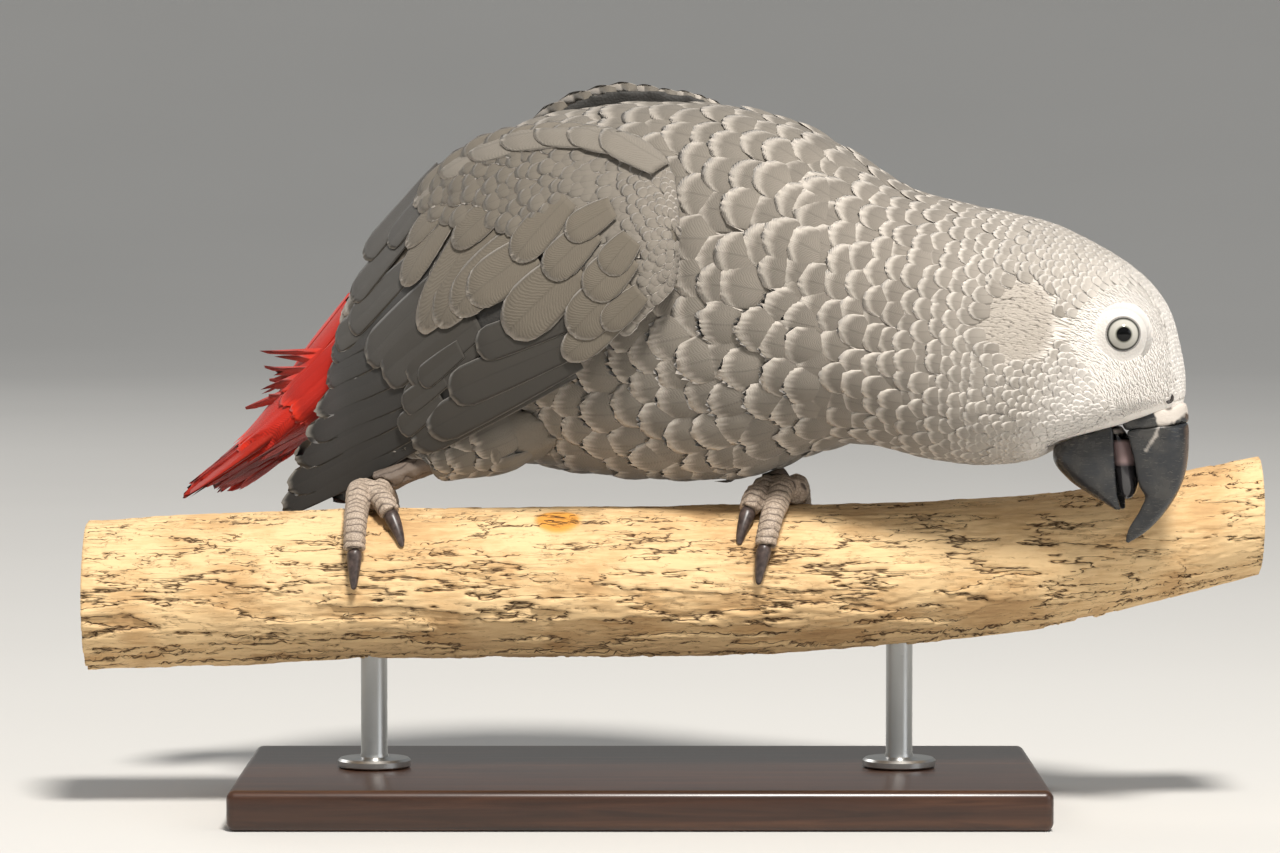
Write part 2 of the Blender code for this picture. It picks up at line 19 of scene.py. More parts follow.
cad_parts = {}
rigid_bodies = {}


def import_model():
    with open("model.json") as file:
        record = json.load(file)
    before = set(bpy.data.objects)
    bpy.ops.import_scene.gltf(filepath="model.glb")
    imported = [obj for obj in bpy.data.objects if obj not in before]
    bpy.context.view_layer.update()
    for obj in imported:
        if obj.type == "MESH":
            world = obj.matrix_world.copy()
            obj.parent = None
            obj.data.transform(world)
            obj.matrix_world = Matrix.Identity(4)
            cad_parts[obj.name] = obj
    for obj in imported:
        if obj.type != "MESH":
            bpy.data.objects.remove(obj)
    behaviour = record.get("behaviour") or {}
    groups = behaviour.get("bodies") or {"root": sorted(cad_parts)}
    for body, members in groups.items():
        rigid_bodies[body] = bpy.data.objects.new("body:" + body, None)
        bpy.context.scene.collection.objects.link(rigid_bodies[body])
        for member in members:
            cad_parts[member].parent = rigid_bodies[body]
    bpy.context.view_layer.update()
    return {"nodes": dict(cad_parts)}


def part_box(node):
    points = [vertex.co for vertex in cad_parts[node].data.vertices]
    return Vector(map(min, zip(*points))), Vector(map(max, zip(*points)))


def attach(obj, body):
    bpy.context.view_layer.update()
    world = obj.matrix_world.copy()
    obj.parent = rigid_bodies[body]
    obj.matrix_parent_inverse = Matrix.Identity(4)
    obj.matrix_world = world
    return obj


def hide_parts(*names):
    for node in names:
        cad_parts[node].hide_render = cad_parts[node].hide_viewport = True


for leftover in list(bpy.data.objects):
    bpy.data.objects.remove(leftover)
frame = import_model()

bl_info = {
    "name": "Grey parrot on a branch",
    "version": (1, 0, 0),
    "blender": (4, 5, 0),
    "location": "3D View > Sidebar > Parrot",
    "description": "Builds the skin, feathers, bill, feet, branch and stand over the frame",
    "category": "Object",
}

BODY_NAME = "root"
MM = 0.001
TURN = 2.0 * math.pi
# Size of a feather's own patch where roots are mapped
BAKE_PATCH = 3 * MM
# How near roots may stand, as a share of their spacing, and how far they stray along their row
CROWDED = 0.72
ROW_JITTER = 0.14

# The bird's place over the branch
HEADING = math.radians(-19.0)
BIRD_Y = 0.014
PERCH_HEIGHT = 0.068

# Ribs of the body: crown forward and up, keel forward and up, half width, height of the widest
# level as a share of the rib, squareness (2 is an ellipse)
BODY = (
    (-0.0970, 0.0800, -0.0775, 0.0585, 0.0145, 0.50, 2.3),
    (-0.0870, 0.0935, -0.0655, 0.0480, 0.0220, 0.48, 2.25),
    (-0.0765, 0.1070, -0.0530, 0.0405, 0.0285, 0.47, 2.15),
    (-0.0600, 0.1240, -0.0345, 0.0345, 0.0355, 0.46, 2.1),
    (-0.0375, 0.1382, -0.0140, 0.0315, 0.0400, 0.47, 2.1),
    (-0.0120, 0.1442, 0.0060, 0.0300, 0.0430, 0.50, 2.2),
    (0.0190, 0.1452, 0.0240, 0.0297, 0.0440, 0.51, 2.2),
    (0.0355, 0.1428, 0.0400, 0.0322, 0.0438, 0.52, 2.2),
    (0.0515, 0.1378, 0.0535, 0.0378, 0.0428, 0.53, 2.2),
    (0.0690, 0.1285, 0.0660, 0.0408, 0.0405, 0.54, 2.2),
    (0.0835, 0.1196, 0.0785, 0.0397, 0.0385, 0.55, 2.2),
    (0.1000, 0.1150, 0.0930, 0.0368, 0.0365, 0.56, 2.2),
    (0.1140, 0.1120, 0.1045, 0.0358, 0.0340, 0.57, 2.2),
    (0.1285, 0.1082, 0.1140, 0.0364, 0.0308, 0.58, 2.25),
    (0.1450, 0.1000, 0.1205, 0.0376, 0.0270, 0.59, 2.3),
    (0.1555, 0.0925, 0.1240, 0.0388, 0.0247, 0.60, 2.35),
    (0.1625, 0.0832, 0.1262, 0.0402, 0.0230, 0.61, 2.4),
    (0.1662, 0.0710, 0.1277, 0.0417, 0.0202, 0.60, 2.4),
    (0.1678, 0.0625, 0.1284, 0.0425, 0.0166, 0.56, 2.3),
    (0.1680, 0.0562, 0.1290, 0.0433, 0.0112, 0.52, 2.2),
)
LAST_RIB = len(BODY) - 1
# Paleness of the wing, back, neck, head and face on the coat's colour ramps
GREY_STEPS = (0.05, 0.33, 0.58, 0.86, 1.0)

# By rib: the coat's depth, the feathers' width and how pale they are (0 wing, 1 face)
COAT_BY_RIB = (
    (0.0, 2.2, 8.0, 0.52),
    (3.0, 3.2, 11.0, 0.40),
    (6.0, 4.0, 13.0, 0.33),
    (9.0, 3.4, 11.5, 0.42),
    (11.0, 2.2, 7.6, 0.56),
    (12.4, 1.4, 5.0, 0.68),
    (13.4, 0.95, 3.5, 0.80),
    (14.8, 0.7, 2.8, 0.90),
    (16.4, 0.5, 2.3, 0.97),
    (19.0, 0.3, 1.8, 0.99),
)

# Wing, folded: for each rib across it, upper edge forward, up and outward, the outward place of
# its middle, lower edge forward, up and outward, and thickness
WING = (
    (0.0272, 0.1065, 0.0460, 0.0475, 0.0276, 0.1010, 0.0468, 0.0040),
    (0.0225, 0.1235, 0.0400, 0.0500, 0.0262, 0.0900, 0.0505, 0.0085),
    (0.0090, 0.1340, 0.0320, 0.0505, 0.0195, 0.0830, 0.0530, 0.0095),
    (-0.0110, 0.1380, 0.0262, 0.0505, 0.0060, 0.0705, 0.0535, 0.0095),
    (-0.0345, 0.1368, 0.0215, 0.0490, -0.0130, 0.0580, 0.0515, 0.0090),
    (-0.0560, 0.1277, 0.0180, 0.0450, -0.0330, 0.0485, 0.0475, 0.0080),
    (-0.0735, 0.1110, 0.0155, 0.0385, -0.0510, 0.0415, 0.0420, 0.0065),
    (-0.0862, 0.0955, 0.0140, 0.0320, -0.0650, 0.0368, 0.0370, 0.0050),
    (-0.0945, 0.0790, 0.0142, 0.0275, -0.0770, 0.0345, 0.0325, 0.0036),
    (-0.0975, 0.0600, 0.0165, 0.0240, -0.0870, 0.0300, 0.0280, 0.0026),
    (-0.1030, 0.0420, 0.0195, 0.0215, -0.0985, 0.0235, 0.0235, 0.0020),
    (-0.1120, 0.0210, 0.0190, 0.0195, -0.1110, 0.0165, 0.0198, 0.0015),
)
WING_RIBS = len(WING)
# Thickness of its edges as a share of its middle's, and how the far wing's upper edge is raised
WING_EDGE = 0.22
FAR_WING_LIFT = 0.0146
LIFT_AT = 2.7
LIFT_REACH = 1.8
WING_SIDES = {"right": (-1.0, 0.0), "left": (1.0, FAR_WING_LIFT)}

# Tail: middle line forward and up, half width, half thickness, how far its sides droop
TAIL = (
    (-0.0885, 0.0690, 0.0130, 0.0160, 0.0010),
    (-0.0990, 0.0605, 0.0142, 0.0130, 0.0020),
    (-0.1115, 0.0498, 0.0165, 0.0085, 0.0035),
    (-0.1230, 0.0405, 0.0200, 0.0052, 0.0045),
    (-0.1345, 0.0325, 0.0225, 0.0034, 0.0050),
    (-0.1435, 0.0268, 0.0210, 0.0022, 0.0045),
    (-0.1488, 0.0240, 0.0125, 0.0012, 0.0025),
)
TAIL_SLOPE = math.radians(41.0)

# Branch: place along X, height of its axis over PERCH_HEIGHT, sideways sway and radius
PERCH = (
    (-0.166, -0.0036, 0.0000, 0.0222),
    (-0.130, -0.0022, 0.0008, 0.0224),
    (-0.080, -0.0002, 0.0004, 0.0223),
    (-0.020, 0.0004, -0.0004, 0.0224),
    (0.040, 0.0012, 0.0000, 0.0221),
    (0.085, 0.0034, 0.0008, 0.0210),
    (0.120, 0.0064, 0.0014, 0.0199),
    (0.150, 0.0118, 0.0016, 0.0188),
    (0.186, 0.0202, 0.0010, 0.0178),
)
# The knot's place along it and angle round it, and its reach both ways
KNOT = (-0.0245, 0.335 * TURN, 0.0072, 0.0058)

# The bare face, in the bird's frame: middle forward and up, reach forward and up
FACE = ((0.1545, 0.0752, 0.0140, 0.0150), (0.1580, 0.0630, 0.0125, 0.0125),
        (0.1640, 0.0585, 0.0085, 0.0085))
# The silky ear patch behind it, how much darker its feathers are and how much paler its skin
EAR = (0.1300, 0.0790, 0.0110, 0.0125)
EAR_DARKER = 0.26
EAR_SKIN_PALER = 0.3
BELLY_PALER = 0.06
# Rings of a nostril's rim: how far out and how high, in millimetres
NOSTRIL_RIM = ((0.10, 0.12), (0.0, 0.16), (-0.35, 0.02), (-0.80, -0.10), (-0.80, -0.4), (0.10, -0.4))
# Nostrils, and the lower edge of the bare skin over the bill, with a pale streak that runs on down
NOSTRIL = (0.1675, 0.0552, 0.0060)
CERE_EDGE = ((0.1590, 0.0560), (0.1599, 0.0550), (0.1608, 0.0525), (0.1620, 0.0498), (0.1634, 0.0489),
             (0.1660, 0.0503), (0.1690, 0.0528))
STREAK = ((0.1622, 0.0492), (0.1612, 0.0463), (0.1585, 0.0423))
# How far an eye's ball stands out of its solid, how far ahead it looks, the radius that its UV map
# covers and the number of spokes in its iris
EYE_OUT = 1.3 * MM
GAZE = math.radians(19.0)
EYE_MAP = 5.6 * MM
IRIS_SPOKES = 74
# Round the eyes: how far across the gaze the skin's shell is sunk in full and at all, how deep it
# is sunk, and how far the lids' dark rim, the white skin and the socket's shade reach
SUNK = (5.6 * MM, 8.4 * MM)
SUNK_DEPTH = 3.2 * MM
DARK_RIM = 0.42 * MM
WHITE_REACH = 10 * MM
SOCKET = 11 * MM


def linear(code):
    """An sRGB hex colour as linear red, green, blue and opaque alpha."""
    parts = [int(code[i : i + 2], 16) / 255 for i in (0, 2, 4)]
    return (*[c / 12.92 if c <= 0.04045 else ((c + 0.055) / 1.055) ** 2.4 for c in parts], 1.0)


# ---------------------------------------------------------------- surfaces

def to_world(points):
    """From the bird's own frame to the world, for an array of points."""
    forward, left, up = np.asarray(points, float).T
    c, s = math.cos(HEADING), math.sin(HEADING)
    return np.stack([forward * c - left * s, forward * s + left * c + BIRD_Y, up + PERCH_HEIGHT], 1)


def to_bird(points):
    x, y, z = np.asarray(points, float).T
    c, s = math.cos(HEADING), math.sin(HEADING)
    y = y - BIRD_Y
    return np.stack([x * c + y * s, y * c - x * s, z - PERCH_HEIGHT], 1)


def unit(vectors):
    return vectors / np.maximum(np.linalg.norm(vectors, axis=-1, keepdims=True), 1e-12)


def directions(*ways):
    """Ways in the bird's own frame, as unit vectors in the world."""
    return unit(to_world(ways) - to_world([(0.0, 0.0, 0.0)]))


def ring_of(count):
    """Evenly spaced angles all round."""
    return np.arange(count) / count * TURN


def grid_of(rows, columns):
    """Each row's value with each column's, row by row."""
    return np.repeat(rows, len(columns)), np.tile(columns, len(rows))


def keep(kept, *arrays):
    return [array[kept] for array in arrays]


def along(table, t):
    """Rows of a smooth curve through the table's rows, read t rows in, straight past its ends."""
    rows = np.asarray(table, float)
    last = len(rows) - 1
    t = np.atleast_1d(np.asarray(t, float))
    inside = np.clip(t, 0, last)
    k = np.clip(np.floor(inside).astype(int), 0, last - 1)
    f = (inside - k)[:, None]
    a, b = rows[k], rows[k + 1]
    before = np.where((k > 0)[:, None], (b - rows[np.maximum(k - 1, 0)]) / 2, b - a)
    after = np.where((k + 2 <= last)[:, None], (rows[np.minimum(k + 2, last)] - a) / 2, b - a)
    curve = (2 * f**3 - 3 * f**2 + 1) * a + (f**3 - 2 * f**2 + f) * before
    curve += (3 * f**2 - 2 * f**3) * b + (f**3 - f**2) * after
    return curve + (t - inside)[:, None] * np.where((t > 0)[:, None], after, before)


def read_off(table, t):
    """A table's later columns, at places between the rows of its first."""
    first, *others = np.array(table).T
    return [np.interp(t, first, column) for column in others]


def coat_at(t):
    """The coat's depth and feather width in metres and its paleness, t ribs from the rump."""
    depth, width, pale = read_off(COAT_BY_RIB, t)
    return depth * MM, width * MM, pale


def rounded(value, square):
    return np.sign(value) * np.abs(value) ** (2 / square)


def body(t, angle, inset=0.0):
    """World points on the body: t ribs from the rump, angle from its left side over the crown."""
    crown_x, crown_z, keel_x, keel_z, half, level, square = along(BODY, t).T
    angle = np.asarray(angle, float)
    length = np.hypot(crown_x - keel_x, crown_z - keel_z)
    rise_x, rise_z = (crown_x - keel_x) / length, (crown_z - keel_z) / length
    up, side = rounded(np.sin(angle), square), rounded(np.cos(angle), square)
    reach = np.where(up > 0, (1 - level) * length, level * length) - inset
    middle_x, middle_z = keel_x + rise_x * level * length, keel_z + rise_z * level * length
    return to_world(np.stack([middle_x + rise_x * reach * up, side * (half - inset),
                              middle_z + rise_z * reach * up], 1))


def under_coat(t, angle):
    """World points on the body's skin, which lies under the surface by the coat's depth."""
    return body(t, angle, coat_at(t)[0])


def wing(t, v, sign, lift, inset=0.0):
    """World points on a folded wing's outer face: t ribs from its wrist, v from its upper edge."""
    top_x, top_z, top_y, mid_y, low_x, low_z, low_y, _ = along(WING, t).T
    v = np.asarray(v, float)
    raised = lift * np.exp(-(((t - LIFT_AT) / LIFT_REACH) ** 4)) * np.clip(1 - v, 0, 1) ** 3
    out = top_y * (1 - v) * (1 - 2 * v) + 4 * mid_y * v * (1 - v) + low_y * v * (2 * v - 1)
    return to_world(np.stack([top_x + (low_x - top_x) * v, sign * (out - inset + 0.3 * raised),
                              top_z + (low_z - top_z) * v + raised], 1))


def wing_wall(t, v):
    """How thick a wing is at each place."""
    thick = along(WING, t)[:, 7]
    return thick * (WING_EDGE + (1 - WING_EDGE) * np.sin(math.pi * np.clip(v, 0, 1)) ** 0.7)


def wing_inset(t):
    """How far a wing's skin lies under its feathers."""
    return np.minimum(2.2 * MM, 0.36 * along(WING, t)[:, 7])


def ways_over(surface, t, v, flip):
    """Places on a surface, and unit vectors along t, along v and out of it."""
    step = 1e-3
    by_t = (surface(t + step, v) - surface(t - step, v)) / (2 * step)
    by_v = (surface(t, v + step) - surface(t, v - step)) / (2 * step)
    return surface(t, v), unit(by_t), unit(by_v), unit(np.cross(by_t, by_v)) * (-1.0 if flip else 1.0)


def smooth(low, high, value):
    x = np.clip((value - low) / (high - low), 0, 1)
    return x * x * (3 - 2 * x)


def patch(bird, spots):
    """1 inside the round spots on both sides of the head, falling to 0 at their rims."""
    mask = np.zeros(len(bird))
    for forward, up, reach_forward, reach_up in spots:
        far = np.hypot((bird[:, 0] - forward) / reach_forward, (bird[:, 2] - up) / reach_up)
        mask = np.maximum(mask, 1 - smooth(0.75, 1.15, far))
    return mask * smooth(0.004, 0.010, np.abs(bird[:, 1]))


def lattice_noise(points, cell, seed):
    """Smooth noise from 0 to 1 with features as large as cell."""
    table = np.random.default_rng(seed).random((32, 32, 32))
    place = np.asarray(points, float) / cell
    base = np.floor(place).astype(int)
    f = place - base
    f = f * f * (3 - 2 * f)
    total = np.zeros(len(place))
    for corner in np.ndindex(2, 2, 2):
        x, y, z = ((base + corner) % 32).T
        total += np.prod(np.where(np.array(corner) == 1, f, 1 - f), axis=1) * table[x, y, z]
    return total


# ---------------------------------------------------------------- meshes

def add_object(name, data):
    obj = bpy.data.objects.new(name, data)
    bpy.context.scene.collection.objects.link(obj)
    return obj


def new_mesh(name, points, faces):
    mesh = bpy.data.meshes.new(name)
    mesh.from_pydata(np.asarray(points).tolist(), [], faces)
    mesh.shade_smooth()
    return mesh


def grid_faces(rows, columns, wrap):
    """Quads between the rows of a grid, whose columns close into rings if wrap is set."""
    count = columns if wrap else columns - 1
    return [(r * columns + c, (r + 1) * columns + c, (r + 1) * columns + (c + 1) % columns,
             r * columns + (c + 1) % columns) for r in range(rows - 1) for c in range(count)]


def edit(obj, change):
    bm = bmesh.new()
    bm.from_mesh(obj.data)
    change(bm)
    bm.to_mesh(obj.data)
    bm.free()
    obj.data.update()


def closed_tube(name, points, sides, looped=False):
    """A solid through rings, closed by flat ends or, if looped, from its last ring to its first."""
    rows = len(points) // sides
    last = (rows - 1) * sides
    faces = grid_faces(rows, sides, True)
    if looped:
        faces += [(last + i, i, (i + 1) % sides, last + (i + 1) % sides) for i in range(sides)]
    else:
        faces += [tuple(range(sides)), tuple(range(last, last + sides))]
    obj = add_object(name, new_mesh(name, points, faces))
    edit(obj, lambda bm: bmesh.ops.recalc_face_normals(bm, faces=bm.faces))
    return obj


def from_bmesh(name, bm, sharp=0):
    """The object of a bmesh, smooth but for its edges over sharp degrees, if that is set."""
    mesh = bpy.data.meshes.new(name)
    bm.to_mesh(mesh)
    bm.free()
    mesh.shade_smooth()
    if sharp:
        mesh.set_sharp_from_angle(angle=math.radians(sharp))
    return add_object(name, mesh)


def shape_of(mesh):
    """The mesh's points and their normals, in rows."""
    found = []
    for key in ("co", "normal"):
        flat = np.empty(len(mesh.vertices) * 3, np.float32)
        mesh.vertices.foreach_get(key, flat)
        found.append(flat.reshape(-1, 3).astype(float))
    return found


def move_points(mesh, points):
    mesh.vertices.foreach_set("co", np.asarray(points, np.float32).ravel())
    mesh.update()


def store(mesh, name, values, kind="FLOAT"):
    attribute = mesh.attributes.get(name) or mesh.attributes.new(name, kind, "POINT")
    key = "vector" if kind == "FLOAT_VECTOR" else "value"
    kept = np.asarray(values, np.int32 if kind == "INT" else np.float32).ravel()
    attribute.data.foreach_set(key, kept)


def write_uv(mesh, name, values):
    """A UV map from one pair of values for each point."""
    corners = np.empty(len(mesh.loops), np.int32)
    mesh.loops.foreach_get("vertex_index", corners)
    layer = mesh.uv_layers.new(name=name)
    layer.data.foreach_set("uv", np.asarray(values, np.float32)[corners].ravel())


def surface_tree(mesh):
    """For the nearest place on a mesh's surface."""
    return BVHTree.FromPolygons([v.co for v in mesh.vertices], [tuple(p.vertices) for p in mesh.polygons])


def place_tree(places):
    """For the nearest of many places."""
    tree = KDTree(len(places))
    for i, place in enumerate(places):
        tree.insert(place, i)
    tree.balance()
    return tree


def bake_modifiers(obj):
    """Turns the object's modifiers into its mesh and takes them off."""
    bpy.context.view_layer.update()
    graph = bpy.context.evaluated_depsgraph_get()
    made = bpy.data.meshes.new_from_object(obj.evaluated_get(graph), preserve_all_data_layers=True,
                                           depsgraph=graph)
    old = obj.data
    obj.modifiers.clear()
    obj.data = made
    bpy.data.meshes.remove(old)
    made.name = obj.name


def add_modifier(obj, kind, **settings):
    modifier = obj.modifiers.new(kind.lower(), kind)
    for key, value in settings.items():
        setattr(modifier, key, value)


def melt(obj, cell, passes):
    """Makes one smooth skin of the object's solids, in cells of one size."""
    add_modifier(obj, "REMESH", mode="VOXEL", voxel_size=cell, use_smooth_shade=True)
    add_modifier(obj, "SMOOTH", factor=0.5, iterations=passes)
    bake_modifiers(obj)


def join_objects(name, objects):
    """One object from several, which are removed."""
    bm = bmesh.new()
    for obj in objects:
        bm.from_mesh(obj.data)
        bpy.data.objects.remove(obj)
    return from_bmesh(name, bm)


def node_copy(name, node, levels=0):
    """A copy of a frame solid, merged, made of quads where it can be, and subdivided."""
    obj = add_object(name, frame["nodes"][node].data.copy())
    obj.data.materials.clear()

    def tidy(bm):
        bmesh.ops.remove_doubles(bm, verts=bm.verts, dist=1e-6)
        bmesh.ops.join_triangles(bm, faces=bm.faces, angle_face_threshold=math.radians(30),
                                 angle_shape_threshold=math.radians(60))

    edit(obj, tidy)
    obj.data.shade_smooth()
    if levels:
        add_modifier(obj, "SUBSURF", levels=levels, render_levels=levels)
        bake_modifiers(obj)
    return obj


def dress(obj, mat, slot, *nodes):
    """Gives a finished piece its material and hands it to the frame."""
    obj.data.materials.clear()
    obj.data.materials.append(mat)
    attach(obj, BODY_NAME)
    if nodes:
        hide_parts(*nodes)


# ---------------------------------------------------------------- nodes

SWITCHES = {"Math": "operation", "VectorMath": "operation", "Mix": "data_type"}


def feed(node, values):
    """Links or sets a node's inputs."""
    for key, value in values.items():
        if isinstance(value, bpy.types.NodeSocket):
            node.id_data.links.new(value, node.inputs[key])
        else:
            node.inputs[key].default_value = value


def add(tree, kind, *values, stops=(), out=None, **settings):
    """Adds one node, with its settings and its ramp's stops, and gives its output called out, or its first.

    "Math POWER" is a Math node set to POWER. The values go to its live inputs in order, and a dict
    among them names its inputs.
    """
    kind, *mode = kind.split()
    node = tree.nodes.new(kind if "Node" in kind else "ShaderNode" + kind)
    if mode:
        settings[SWITCHES[kind]] = mode[0]
    for key, value in settings.items():
        setattr(node, key, value)
    live = [k for k, socket in enumerate(node.inputs) if socket.enabled]
    for k, value in enumerate(values):
        feed(node, value if isinstance(value, dict) else {live[k]: value})
    if stops:
        ramp = node.color_ramp.elements
        while len(ramp) < len(stops):
            ramp.new(0.5)
        for element, (place, code) in zip(ramp, stops):
            element.position = place
            element.color = linear(code) if isinstance(code, str) else code
    found = [socket for socket in node.outputs if socket.enabled and out in (None, socket.name)]
    return found[0] if found else None


def new_material(name):
    mat = bpy.data.materials.new(name)
    mat.use_nodes = True
    return mat, mat.node_tree


def finish(mat, **inputs):
    """The material, once its shader's inputs, with _ for the spaces of their names, are linked or set."""
    named = {key.replace("_", " "): value for key, value in inputs.items()}
    feed(mat.node_tree.nodes["Principled BSDF"], named)
    return mat


def new_group(name, **sockets):
    """A Geometry Nodes tree that gives one mesh, and the outputs of its named inputs."""
    tree = bpy.data.node_groups.new(name, "GeometryNodeTree")
    tree.interface.new_socket("Made", in_out="OUTPUT", socket_type="NodeSocketGeometry")
    for label, kind in sockets.items():
        tree.interface.new_socket(label, in_out="INPUT", socket_type="NodeSocket" + kind)
    return tree, add(tree, "NodeGroupInput").node.outputs


def run_group(obj, tree, **values):
    """Runs a tree on the object, with its inputs set by their identifiers, and keeps the mesh it makes."""
    modifier = obj.modifiers.new("nodes", "NODES")
    modifier.node_group = tree
    for item in tree.interface.items_tree:
        if item.in_out == "INPUT" and item.name in values:
            modifier[item.identifier] = values[item.name]
    bake_modifiers(obj)


def coat_tree():
    """Lays a vane on each root, then bends all the vanes down over the guide's surface."""
    tree, given = new_group("lay_coat", Roots="Geometry", Vanes="Collection", Guide="Object", Patch="Float",
                            Finish="Material")
    held = {name: add(tree, "GeometryNodeInputNamedAttribute", name, data_type=kind) for name, kind in (
        ("out", "FLOAT_VECTOR"), ("lie", "FLOAT_VECTOR"), ("variant", "INT"), ("size", "FLOAT_VECTOR"),
        ("outward", "FLOAT_VECTOR"), ("rise", "FLOAT"), ("lift", "FLOAT"), ("vane", "FLOAT_VECTOR"),
        ("root", "FLOAT_VECTOR"))}
    vanes = add(tree, "GeometryNodeCollectionInfo", given["Vanes"], True, True)
    turn = add(tree, "FunctionNodeAxesToRotation", held["out"], held["lie"], primary_axis="Z",
               secondary_axis="Y")
    laid = add(tree, "GeometryNodeInstanceOnPoints",
               {"Points": given["Roots"], "Instance": vanes, "Pick Instance": True,
                "Instance Index": held["variant"], "Rotation": turn, "Scale": held["size"]})
    real = add(tree, "GeometryNodeRealizeInstances", laid)
    guide = add(tree, "GeometryNodeObjectInfo", given["Guide"], out="Geometry")
    foot, outward = (add(tree, "GeometryNodeSampleNearestSurface", guide, value, data_type="FLOAT_VECTOR")
                     for value in (add(tree, "GeometryNodeInputPosition"), held["outward"]))
    tall = add(tree, "SeparateXYZ", held["size"], out="Z")
    height = add(tree, "Math MULTIPLY_ADD", held["rise"], tall, held["lift"])
    raised = add(tree, "VectorMath SCALE", add(tree, "VectorMath NORMALIZE", outward), height)
    place = add(tree, "VectorMath ADD", foot, raised)
    bent = add(tree, "GeometryNodeSetPosition", {"Geometry": real, "Position": place})
    own = add(tree, "VectorMath SCALE", held["vane"], given["Patch"])
    spot = add(tree, "VectorMath ADD", held["root"], own)
    mapped = add(tree, "GeometryNodeStoreNamedAttribute",
                 {"Geometry": bent, "Name": "OFBake", "Value": spot}, data_type="FLOAT2", domain="CORNER")
    add(tree, "NodeGroupOutput",
        add(tree, "GeometryNodeSetMaterial", {"Geometry": mapped, "Material": given["Finish"]}))
    return tree


# ---------------------------------------------------------------- feathers

def vane(name, columns, rows, blunt, waist=0.55, fray=0.0, cup=0.35, droop=0.15, sweep=0.0, settle=0.8,
         seed=1):
    """One feather, a unit long and wide, as a thin closed lens that keeps its height in rise.

    Each column of barbs runs from the root to its own end on the rounded tip, at blunt or past it.
    The vane stops rising at settle of its length.
    """
    rng = np.random.default_rng(seed)
    s = np.linspace(-1, 1, columns + 1)
    ends = blunt + (1 - blunt) * np.sqrt(np.maximum(1 - np.abs(s) ** 2.2, 0))
    ends = ends + fray * rng.uniform(-1.0, 0.35, len(s))
    share = np.linspace(0, 1, rows + 1)[:, None]
    y = share * ends
    half = 0.5 * (waist + (1 - waist) * np.sin(math.pi / 2 * np.clip(y / blunt, 0, 1)))
    x = s * half + sweep * y**2
    lying = np.sin(math.pi / 2 * np.clip(y / settle, 0, 1)) - droop * np.clip((y - 0.8) / 0.2, 0, 1) ** 2
    arch = cup * (0.35 + 0.65 * np.clip(y * 2, 0, 1))
    at = lambda r, c: r * (columns + 1) + c
    faces = [(at(r, c), at(r, c + 1), at(r + 1, c + 1), at(r + 1, c))
             for r in range(rows) for c in range(columns)]
    faces += [(at(r, 0), at(r + 1, 0), at(r + 1, columns), at(r, columns)) for r in range(rows)]
    faces.append(tuple(at(rows, c) for c in range(columns + 1)))
    faces.append(tuple(at(0, c) for c in reversed(range(columns + 1))))
    mesh = new_mesh(name, np.stack([x, y, np.zeros_like(x)], -1).reshape(-1, 3), faces)
    store(mesh, "rise", lying - 0.12 - arch * s**2)
    write_uv(mesh, "vane", np.stack(np.broadcast_arrays((s + 1) / 2, share), -1).reshape(-1, 2))
    return bpy.data.objects.new(name, mesh)


def vane_kind(name, variants, **shape):
    """A collection of like vanes, which differ in their frayed ends."""
    group = bpy.data.collections.new(name)
    for k in range(variants):
        group.objects.link(vane(f"{name}_{k}", seed=11 + k, **shape))
    return group


def spot_of(u, v):
    """Where roots lie on an unwrap of the surface that they grow from."""
    return np.stack([u, v, np.zeros(len(u))], 1)


def grow(rng, place, lie, out, root, shade, width, length, tall, lift=0.0, sway=0.10, tone=0.07):
    """Feathers at their roots, each turned at random by up to sway radians and toned by up to tone."""
    count = len(place)
    full = lambda value: np.broadcast_to(np.asarray(value, float), (count,))
    out = unit(out)
    lie = unit(lie - out * np.sum(lie * out, 1, keepdims=True))
    turn = rng.uniform(-sway, sway, count)[:, None]
    return {
        "lie": lie * np.cos(turn) + np.cross(out, lie) * np.sin(turn), "out": out,
        "size": np.stack([full(width), full(length), full(tall)], 1), "root": root, "lift": full(lift),
        "shade": full(shade), "tone": rng.uniform(-tone, tone, count),
        "variant": rng.integers(0, 1000, count), "place": place,
    }


def lay(name, parts, vanes, guide, mat, slot, *nodes):
    """The finished mesh of all the parts' feathers, bent over the guide."""
    data = {key: np.concatenate([part[key] for part in parts]) for key in parts[0]}
    obj = add_object(name, new_mesh(name, data["place"], []))
    for key in ("lie", "out", "size", "root"):
        store(obj.data, key, data[key], "FLOAT_VECTOR")
    for key in ("lift", "shade", "tone"):
        store(obj.data, key, data[key])
    store(obj.data, "variant", data["variant"] % len(vanes.objects), "INT")
    run_group(obj, bpy.data.node_groups["lay_coat"], Vanes=vanes, Guide=guide, Patch=BAKE_PATCH, Finish=mat)
    for key in ("lie", "out", "size", "root", "lift", "variant", "rise"):
        layer = obj.data.attributes.get(key)
        if layer:
            obj.data.attributes.remove(layer)
    obj.data.shade_smooth()
    dress(obj, mat, slot, *nodes)


def thinned(place, lie, out, across, apart):
    """Which roots to keep, in order, so that none crowd: across and apart are their spacings."""
    tree = place_tree(place)
    side = np.cross(out, lie)
    kept = np.zeros(len(place), bool)
    for i, p in enumerate(place):
        gaps = (place[j] - p for _, j, _ in tree.find_range(p, max(across[i], apart[i])) if kept[j])
        kept[i] = all(math.hypot(gap @ side[i] / across[i], gap @ lie[i] / apart[i]) >= CROWDED
                      for gap in gaps)
    return kept


